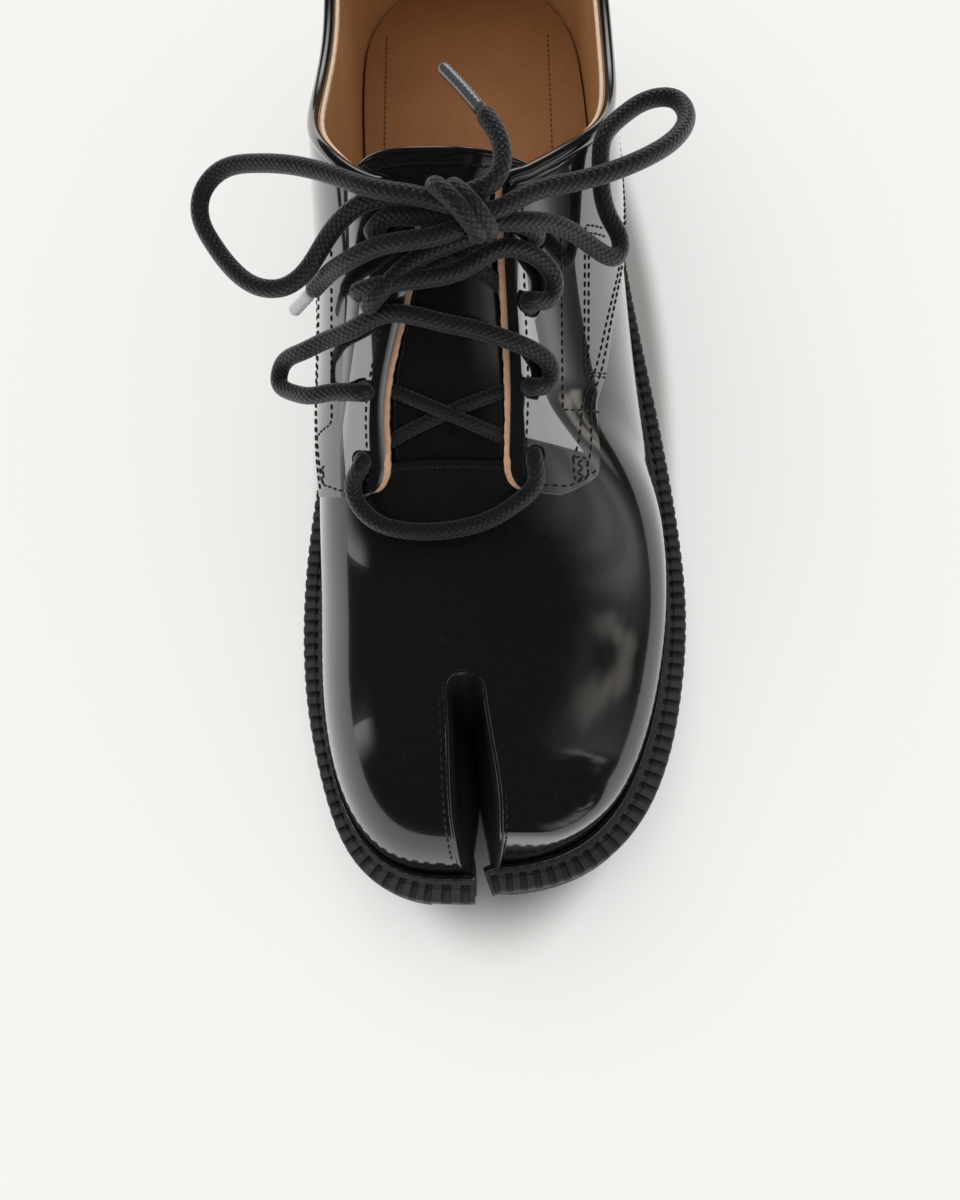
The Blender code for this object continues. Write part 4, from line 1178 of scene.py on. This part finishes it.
def makeWelt():
    pathRows, foot, out, pathReveal, travel = weltPath()
    ribs = int(round(travel[-1] / weltForm["pitch"]))
    at = (np.arange(ribs)[:, None] + np.array(weltForm["offsets"])[None, :]).ravel() * travel[-1] / ribs
    at = np.append(at, travel[-1])  # where each row of the strip lies
    share = np.append(np.tile(np.interp(weltForm["offsets"], weltForm["notch"], [0, 1, 1, 0]), ribs), 0.0)
    y = np.interp(at, travel, pathRows)
    centre = np.stack([np.interp(at, travel, foot[:, k]) for k in range(3)], -1)
    away = np.stack([np.interp(at, travel, out[:, k]) for k in range(3)], -1)
    reveal = np.interp(at, travel, pathReveal)
    profile = np.array(weltProfile)
    rows, columns = len(at) - 1, len(profile) - 1
    inner = weltForm["inner"]
    spread = (reveal - inner) / (weltForm["reveal"] - inner)
    endReach = inner + (profile[:, 0] - inner) * spread[-1]
    endGap = weltForm["slot"][0] - centre[-1, 0] - away[-1, 0] * endReach  # squares the cut at the inner toe

    def place(u, w):
        i, k = nearest(w, rows), nearest(u, columns)
        distance = inner + (profile[k, 0] - inner) * spread[i]
        cut = share[i] * (weltForm["notchDepth"] * profile[k, 2] + weltForm["pitDepth"] * profile[k, 3])
        point = centre[i] + away[i] * distance[:, None]
        point[:, 0] += endGap[k] * np.clip(1 - (travel[-1] - at[i]) / weltForm["endLength"], 0, 1)
        point[:, 2] = soleCurve["top"](y[i]) + profile[k, 1] - cut
        return point

    shape = bmesh.new()
    gridShape(shape, columns, rows, place)
    bmesh.ops.remove_doubles(shape, verts=shape.verts, dist=0.001 * mm)
    bmesh.ops.holes_fill(shape, edges=openEdges(shape), sides=60)
    bmesh.ops.recalc_face_normals(shape, faces=shape.faces)
    piece = finishPiece("weltStrip", shape, weltRubber, ["welt"])
    piece.data.set_sharp_from_angle(angle=sharpAngle)


# Rounded bead between the welt and the upper
beadForm = {"radius": 0.8, "sides": 10, "step": 1.2, "away": 0.8, "height": 4.45, "every": 6}


def makeBead():
    rows, foot, out, _, _ = weltPath()
    line = foot + out * beadForm["away"]
    line[:, 2] = soleCurve["top"](rows) + beadForm["height"]
    line = np.append(line[:: beadForm["every"]], [[weltForm["slot"][0], line[-1, 1], line[-1, 2]]], axis=0)
    layTube("weltBead", line, beadForm, upperPatent, roundOff=False)


makeWelt()
makeBead()
print("welt made")

# Outsole and heel: one section round each row, with bars across the tread.
treadForm = {"across": 30, "barHalf": 0.22, "barSlope": 0.08, "barEnd": 0.1, "endSlope": 0.03}
outsoleForm = {
    "rows": 420, "tipGap": 0.3, "inset": 0.1, "tread": (-106, -20), "barPitch": 9.0, "barDepth": 1.3,
}
outsoleSide = [(0.0, 1.0), (-0.1, 0.62), (-0.55, 0.58), (-0.55, 0.5), (-0.1, 0.46), (-0.15, 0.2), (-1.2, 0.0)]
heelForm = {
    "rows": 150, "breast": 76.0, "gap": 0.3, "inset": 1.2, "tread": (90, 150), "barPitch": 10.0,
    "barDepth": 1.6,
}
heelSide = [(0.0, 1.0), (-0.3, 0.55), (-0.7, 0.51), (-0.7, 0.45), (-0.4, 0.41), (-1.2, 0.07), (-1.8, 0.0)]


def soleUnder(y):
    return np.maximum(soleCurve["under"](y), 0.0)


def barShare(y, across, form):
    low, high = form["tread"]
    beside = np.abs((y - low) / form["barPitch"] % 1 - 0.5)
    bar = np.clip((treadForm["barHalf"] - beside) / treadForm["barSlope"], 0, 1) * (y > low) * (y < high)
    inside = 0.5 - np.abs(across - 0.5) - treadForm["barEnd"]
    return bar * np.clip(inside / treadForm["endSlope"], 0, 1)


def soleSection(side):
    fill = np.linspace(1, 0, treadForm["across"])[1:-1]
    parts = [(1.0, *step) for step in side] + [(share, *side[-1]) for share in fill]
    parts += [(0.0, *step) for step in side[::-1]] + [(share, *side[0]) for share in fill[::-1]]
    return np.array(parts + parts[:1])


def soleForm(rows, side, form, floor, top):
    section = soleSection(side)

    def place(u, w):
        i, k = nearest(w, len(rows) - 1), nearest(u, len(section) - 1)
        across, out, height = section[k].T
        reach = out - form["inset"]
        inner, outer = (soleEdge(rows[i], at, revealCurve[at](rows[i]) + reach) for at in (medial, lateral))
        point = inner + (outer - inner) * across[:, None]
        y = point[:, 1]
        point[:, 2] = floor(y) + (top(y) - floor(y)) * height
        point[:, 2] += form["barDepth"] * barShare(y, across, form) * (height == 0)
        return point

    shape = bmesh.new()
    gridShape(shape, len(section) - 1, len(rows) - 1, place)
    bmesh.ops.remove_doubles(shape, verts=shape.verts, dist=0.002 * mm)
    caps = bmesh.ops.holes_fill(shape, edges=openEdges(shape), sides=0)["faces"]
    bmesh.ops.triangulate(shape, faces=caps)
    bmesh.ops.recalc_face_normals(shape, faces=shape.faces)
    return shape


# The slot between the toes, a little narrower at the tip of the inner toe.
slotForm = {
    "front": -165, "rootGap": 0.3, "rows": 40, "level": 10.0, "inset": 1.5, "insetRun": (122, 134),
    "least": 0.3, "top": 40.0, "depth": 60.0,
}


def slotCutter():
    rows = np.linspace(slotForm["front"], cleft["rootY"][0] - slotForm["rootGap"], slotForm["rows"])

    def place(u, w):
        y = rows[nearest(w, len(rows) - 1)]
        low, high = (cleftEdgeX(side, y, slotForm["level"]) for side in (medial, lateral))
        low = low + slotForm["inset"] * smoothStep(-y, *slotForm["insetRun"])
        high = np.maximum(high, low + slotForm["least"])
        return np.stack([low + (high - low) * u, y, np.full(len(y), slotForm["top"])], -1)

    shape = bmesh.new()
    gridShape(shape, 1, len(rows) - 1, place)
    lower = bmesh.ops.extrude_face_region(shape, geom=shape.faces[:])["geom"]
    below = [item for item in lower if isinstance(item, bmesh.types.BMVert)]
    bmesh.ops.translate(shape, verts=below, vec=(0, 0, -slotForm["depth"] * mm))
    bmesh.ops.recalc_face_normals(shape, faces=shape.faces)
    return meshObject("slotCutter", shape)


def makeOutsole():
    turn = np.linspace(0, np.pi, outsoleForm["rows"])
    first, last = toeTip + outsoleForm["tipGap"], heelTip - outsoleForm["tipGap"]
    rows = first + (last - first) * (1 - np.cos(turn)) / 2
    shape = soleForm(rows, outsoleSide, outsoleForm, soleUnder, soleCurve["top"])
    piece = finishPiece("outsoleSlab", shape, soleRubber, ["outsole"])
    cutAway(piece, slotCutter())
    piece.data.set_sharp_from_angle(angle=sharpAngle)


def makeHeel():
    rows = crowdHigh(heelForm["breast"], heelTip - 0.01, heelForm["rows"])
    shape = soleForm(rows, heelSide, heelForm, lambda y: 0 * y, lambda y: soleUnder(y) - heelForm["gap"])
    piece = finishPiece("heelBlock", shape, heelRubber, ["heel"])
    piece.data.set_sharp_from_angle(angle=sharpAngle)


makeOutsole()
makeHeel()
print("outsole and heel made")


# Stitches: short rounded lengths of thread laid along lines on the leather.
stitchForm = {
    "pitch": 2.1, "length": 1.65, "width": 0.62, "height": 0.5, "lift": 0.08, "zigPitch": 1.1,
    "zigReach": 0.75, "tackReach": 1.6, "seamRows": ((1.5, 1), (3.2, 2)), "heelGap": 0.5,
    "facingRow": 3.7, "facingRun": (tabFront + 2.6, 3.0),
}


def evenly(points, ups, step):
    travel = travelAlong(points)
    at = np.linspace(0, travel[-1], max(2, round(travel[-1] / step) + 1))
    line = np.stack([np.interp(at, travel, points[:, k]) for k in range(3)], -1)
    return line, np.stack([np.interp(at, travel, ups[:, k]) for k in range(3)], -1)


def sewOne(shape, start, end, up, share):
    aim = Vector(end - start)
    length = aim.length
    aim.normalize()
    up = Vector(up)
    up = (up - aim * up.dot(aim)).normalized()
    turn = Matrix((aim, up.cross(aim), up)).transposed().to_4x4()
    half = Vector((length * share, stitchForm["width"], stitchForm["height"])) / 2 * mm
    at = Matrix.Translation(toFrame((start + end) / 2)) @ turn @ Matrix.Diagonal((*half, 1))
    bmesh.ops.create_uvsphere(shape, u_segments=6, v_segments=5, radius=1.0, matrix=at)


def sew(name, rows=(), zigzags=(), thread=stitchThread):
    shape = bmesh.new()
    for points, ups in rows:
        line, up = evenly(points, ups, stitchForm["pitch"])
        for start, end, normal in zip(line, line[1:], up):
            sewOne(shape, start, end, normal, stitchForm["length"] / stitchForm["pitch"])
    for points, ups, reach in zigzags:
        line, up = evenly(points, ups, stitchForm["zigPitch"])
        across = np.cross(np.gradient(line, axis=0), up)
        across *= reach / np.linalg.norm(across, axis=1, keepdims=True)
        line = line + across * np.where(np.arange(len(line)) % 2, 0.5, -0.5)[:, None]
        for start, end, normal in zip(line, line[1:], up):
            sewOne(shape, start, end, normal, 1.0)
    finishPiece(name, shape, thread)


# Lines across the leather: corners are places in plan, joined by straight runs on the surface.
def planLine(corners, surface):
    corners = np.array(corners, float)
    travel = travelAlong(corners)
    at = np.linspace(0, travel[-1], max(4, int(travel[-1] / 0.4)))
    x, y = np.interp(at, travel, corners[:, 0]), np.interp(at, travel, corners[:, 1])
    s = acrossAt(x, y)
    return surface(y, s), lastNormal(y, s)


def onQuarter(side):
    return lambda y, s: quarterSkin(side, y, s) + lastNormal(y, s) * stitchForm["lift"]


def seamLine(side, above, first, last):
    y = np.linspace(first, last, 400)
    bottom = quarterBottomZ(side)
    s = acrossAtHeight(side, lambda at: bottom(at) + above, y)
    return onQuarter(side)(y, s), lastNormal(y, s)


def facingLine(side, inside, first, last):
    y = np.linspace(first, last, 160)
    s = acrossAt(facingX(side, y) + side * inside, y)
    return onQuarter(side)(y, s), lastNormal(y, s)


stitchLines = {
    medial: [
        [(-35.8, 2.0), (-36.6, -10.2), (-38.0, -32.2), (-43.2, -31.0)],
        [(-40.4, 8.0), (-41.6, -8.0), (-42.6, -20.0)],
        [(-30.5, -47.5), (-36.6, -46.2), (-41.4, -42.6)]],
    lateral: [
        [(15.0, 3.0), (15.6, -13.0), (16.0, -32.0), (25.4, -29.1)],
        [(25.6, 10.6), (20.9, 7.0), (21.2, -22.2), (27.0, -19.6)],
        [(26.4, 9.8), (21.9, 6.4), (22.2, -21.3), (27.1, -18.6)],
        [(9.4, -47.4), (18.4, -47.0), (24.8, -42.8)],
        [(18.9, -41.2), (22.2, -40.6), (22.6, -45.2), (19.2, -46.0), (18.9, -41.2)]],
}
tackLines = {medial: [[(-41.2, -38.6), (-41.5, -42.4)]], lateral: [[(20.4, -41.4), (20.8, -45.6)]]}
for side in (medial, lateral):
    rows = [planLine(line, onQuarter(side)) for line in stitchLines[side]]
    for above, gap in stitchForm["seamRows"]:
        rows.append(seamLine(side, above, tabCorner + gap, heelTip - stitchForm["heelGap"]))
    rows.append(facingLine(side, stitchForm["facingRow"], *stitchForm["facingRun"]))
    tacks = [(*planLine(line, onQuarter(side)), stitchForm["tackReach"]) for line in tackLines[side]]
    sew("quarterStitches" + sideName[side].title(), rows, tacks)


# Zig-zag seams of the tongue and the vamp's back edge, and the rows beside the cleft.
zigForm = {"tongueInset": 2.4, "tongueReach": 0.93, "throatEnds": (-24.6, 2.4), "throatInset": 1.3}
cleftRows = [(0.06, 0.95, 1.9), (2.66, 2.97, 1.5)]  # start and end along the cleft, distance from it


def tongueLine(inset):
    a = np.linspace(-zigForm["tongueReach"], zigForm["tongueReach"], 160)
    w = 1 - inset / (tongueForm["back"] - tongueForm["front"]) * np.ones_like(a)
    s, y = tongueSpot(a, w)
    return tongueSkin(a, w, stitchForm["lift"]), lastNormal(y, s)


def cleftStitchLine(first, last, away):
    part = np.linspace(first, last, 140)
    x, y, s, _ = cleftTop(part, away)
    return skin(y, s, stitchForm["lift"]), lastNormal(y, s)


sew("tongueStitches", [], [(*tongueLine(zigForm["tongueInset"]), stitchForm["zigReach"])])
throatEnds = [(x, vampEdge - zigForm["throatInset"]) for x in zigForm["throatEnds"]]
throatSeam = planLine(throatEnds, lambda y, s: skin(y, s, stitchForm["lift"]))
besideCleft = [cleftStitchLine(*row) for row in cleftRows]
sew("vampStitches", besideCleft, [(*throatSeam, stitchForm["zigReach"])])


def sockLine(side, x, first, last):
    y = np.linspace(first, last, 200)
    edges = {at: soleEdge(y, at, -sockForm["inset"])[:, 0] for at in (medial, lateral)}
    x = np.interp(y, [first, last], x)
    across = (x - edges[side]) / ((edges[medial] + edges[lateral]) / 2 - edges[side])
    crown = sockForm["crown"] * (1 - (1 - across) ** 2)
    z = soleCurve["top"](y) + sockForm["height"] - crown + stitchForm["lift"]
    return np.stack([x, y, z], -1), np.tile((0.0, 0.0, 1.0), (len(y), 1))


sockSeams = {medial: (-33.5, -35.0), lateral: (19.5, 18.6)}  # x at the front and back end of each row
sockRun = (20, 136)
sockRows = [sockLine(side, x, *sockRun) for side, x in sockSeams.items()]
sew("sockStitches", sockRows, thread=sockThread)
print("stitches sewn")

# Lace under the facings: it crosses over the tongue from the first and the third eyelets to the next.
crossForm = {
    "radius": 1.7, "sides": 14, "step": 1.0, "points": 17, "lift": -2.9, "middle": 1.5,
    "middleRun": (0.55, 0.9), "bow": 0.6,
}


def makeCrossings():
    shape = bmesh.new()
    for number in (0, 2):
        for start in (medial, lateral):
            share = np.linspace(0.0, 1.0, crossForm["points"])
            x = eyelets[sideName[start]][number] * (1 - share) + eyelets[sideName[-start]][number + 1] * share
            y = eyelets["y"][number] * (1 - share) + eyelets["y"][number + 1] * share
            arch = np.sin(share * np.pi)
            lift = crossForm["lift"] + crossForm["middle"] * smoothStep(arch, *crossForm["middleRun"])
            lift = lift + crossForm["bow"] * start * arch**6  # one cord over the other
            points = skin(y, acrossAt(x, y), lift)
            tubeShape(shape, points, crossForm["radius"], crossForm["sides"], crossForm["step"])
    finishPiece("laceCrossings", shape, waxedBraid)


makeCrossings()
print("lace crossings laid")


# Floor and light
stageLook = {
    "floorSize": 6.0, "floorDark": (0.4285, 0.426, 0.4211), "floorLight": (0.435, 0.4325, 0.4275),
    # The floor's glow is painted light that lifts the shoe's shadows; it fades out under the shoe as painted
    # shade.
    "fibre": {"Wave Scale": 6, "Grain Scale": 400, "Grain Share": 0.1}, "glow": 0.46,
    "paintedLightColour": (1.0, 0.995, 0.985), "paintedShadeFootprint": (0.052, 0.153, 1.0), "paintedShadeFade": (0.97, 1.12),
    "ambient": 0.68, "sky": (1.0, 0.99, 0.97), "room": 0.015,
    "sun": 1.5, "sunSpread": 70, "sunTravel": (0.22, -0.42, -0.87), "sunColour": (1.0, 0.985, 0.955),
}
# What the gloss mirrors: azimuth and elevation in degrees, edge softness, strength and colour.
windows = [
    {"azimuth": (-190, -171), "elevation": (-4, 22), "soft": 8, "strength": 1.5, "colour": (0.97, 0.98, 1.0)},
    {"azimuth": (-66, -6), "elevation": (4, 36), "soft": 14, "strength": 0.9, "colour": (0.98, 0.98, 1.0),
     "stripes": {"rate": 0.35, "depth": 0.3, "edge": 0.6}},
    {"azimuth": (74, 106), "elevation": (14, 38), "soft": 8, "strength": 2.2, "colour": (1.0, 0.99, 0.97)},
    {"azimuth": (-4, 22), "elevation": (10, 34), "soft": 9, "strength": 0.9, "colour": (1.0, 0.93, 0.83),
     "spots": {"scale": 5.5, "detail": 0.8, "range": (0.4, 0.72)}},
]
bpy.context.scene.view_settings.view_transform = "Standard"


def makeFloor():
    shape = bmesh.new()
    bmesh.ops.create_grid(shape, x_segments=8, y_segments=8, size=stageLook["floorSize"] / 2)
    floor = meshObject("floor", shape)
    # The floor glows with painted light that fills the shoe's shadows, except under the shoe, where it is
    # left dark as painted shade.
    finish, tree, shader = startFinish("floorPaperPaintedLight", {
        "Roughness": 0.9, "Specular IOR Level": 0.0, "Emission Strength": stageLook["glow"]})
    place = addNode(tree, "TexCoord").outputs["Object"]
    scaled = addNode(tree, "VectorMath", {"operation": "DIVIDE"}, {0: place, 1: stageLook["paintedShadeFootprint"]})
    reach = addNode(tree, "VectorMath", {"operation": "LENGTH"}, {0: scaled.outputs[0]}).outputs["Value"]
    beside = softStep(tree, reach, *stageLook["paintedShadeFade"])  # painted shade: the floor's painted-light glow is left out under the shoe
    glow = blendColours(tree, beside, (0, 0, 0), stageLook["paintedLightColour"])
    tree.links.new(glow, shader.inputs["Emission Color"])
    fibre = placeGroup(tree, leatherGroup, stageLook["fibre"])
    paper = blendColours(tree, fibre["Tone"], stageLook["floorDark"], stageLook["floorLight"])
    tree.links.new(paper, shader.inputs["Base Color"])
    floor.data.materials.append(finish)


def addSun():
    light = bpy.data.lights.new("keyLight", "SUN")
    light.energy, light.color = stageLook["sun"], stageLook["sunColour"]
    light.angle = math.radians(stageLook["sunSpread"])
    lamp = bpy.data.objects.new("keyLight", light)
    lamp.rotation_euler = Vector(stageLook["sunTravel"]).to_track_quat("-Z", "Y").to_euler()
    lamp.visible_glossy = False
    bpy.context.scene.collection.objects.link(lamp)


# White cards beside the quarters, each seen only in its own quarter's gloss
cards = [
    {"piece": "quarterMedial", "place": (-0.158, -0.105, 0.115), "aim": (-0.032, -0.046, 0.071),
     "size": (0.085, 0.085), "roll": 0, "power": 0.034},
    {"piece": "quarterLateral", "place": (0.0952, -0.1075, 0.1684), "aim": (0.009, -0.040, 0.075),
     "size": (0.1, 0.028), "roll": -22, "power": 0.0132},
]


def addCard(values):
    name = values["piece"] + "Card"
    light = bpy.data.lights.new(name, "AREA")
    light.shape, light.energy = "RECTANGLE", values["power"]
    light.size, light.size_y = values["size"]
    card = bpy.data.objects.new(name, light)
    card.location = values["place"]
    turn = (Vector(values["aim"]) - Vector(values["place"])).to_track_quat("-Z", "Y")
    card.rotation_euler = (turn @ Quaternion((0, 0, 1), math.radians(values["roll"]))).to_euler()
    card.visible_camera = card.visible_diffuse = False
    mirrors = bpy.data.collections.new(name + "Mirrors")
    mirrors.objects.link(bpy.data.objects[values["piece"]])
    card.light_linking.receiver_collection = mirrors
    bpy.context.scene.collection.objects.link(card)


def addWindow(tree, place, angles, values):
    mask = 1.0
    for angle, (low, high) in zip(angles, (values["azimuth"], values["elevation"])):
        soft = values["soft"]
        mask = times(tree, mask, softStep(tree, angle, low - soft, low + soft))
        mask = times(tree, mask, softStep(tree, angle, high + soft, high - soft))
    if "stripes" in values:
        stripes = values["stripes"]
        edge = stripes["edge"]
        wave = mathNode(tree, "SINE", times(tree, angles[0], stripes["rate"]))
        mask = times(tree, mask, remap(tree, wave, 1 - stripes["depth"], 1, -edge, edge))
    if "spots" in values:
        spots = values["spots"]
        patch = noise(tree, place, spots["scale"], spots["detail"])
        mask = times(tree, mask, softStep(tree, patch, *spots["range"]))
    glow = addNode(tree, "Background", sockets={"Color": (*values["colour"], 1)})
    tree.links.new(times(tree, mask, values["strength"]), glow.inputs["Strength"])
    return glow.outputs[0]


def makeWorld():
    world = bpy.data.worlds.new("studio")
    bpy.context.scene.world = world
    world.use_nodes = True
    tree = world.node_tree
    sky = tree.nodes["Background"]
    sky.inputs["Color"].default_value = (*stageLook["sky"], 1)
    sky.inputs["Strength"].default_value = stageLook["ambient"]
    place = addNode(tree, "TexCoord").outputs["Generated"]
    way = addNode(tree, "SeparateXYZ", sockets={"Vector": place}).outputs
    azimuth = times(tree, mathNode(tree, "ARCTAN2", way["Y"], way["X"]), 180 / math.pi)
    elevation = times(tree, mathNode(tree, "ARCSINE", way["Z"]), 180 / math.pi)
    room = addNode(tree, "Background", sockets={"Strength": stageLook["room"]}).outputs[0]
    for values in windows:
        both = addNode(tree, "AddShader")
        tree.links.new(room, both.inputs[0])
        tree.links.new(addWindow(tree, place, (azimuth, elevation), values), both.inputs[1])
        room = both.outputs[0]
    mixed = addNode(tree, "MixShader")
    tree.links.new(addNode(tree, "LightPath").outputs["Is Glossy Ray"], mixed.inputs[0])
    tree.links.new(sky.outputs[0], mixed.inputs[1])
    tree.links.new(room, mixed.inputs[2])
    tree.links.new(mixed.outputs[0], tree.nodes["World Output"].inputs["Surface"])


makeFloor()
makeWorld()
addSun()
for values in cards:
    addCard(values)
print("floor and light set")
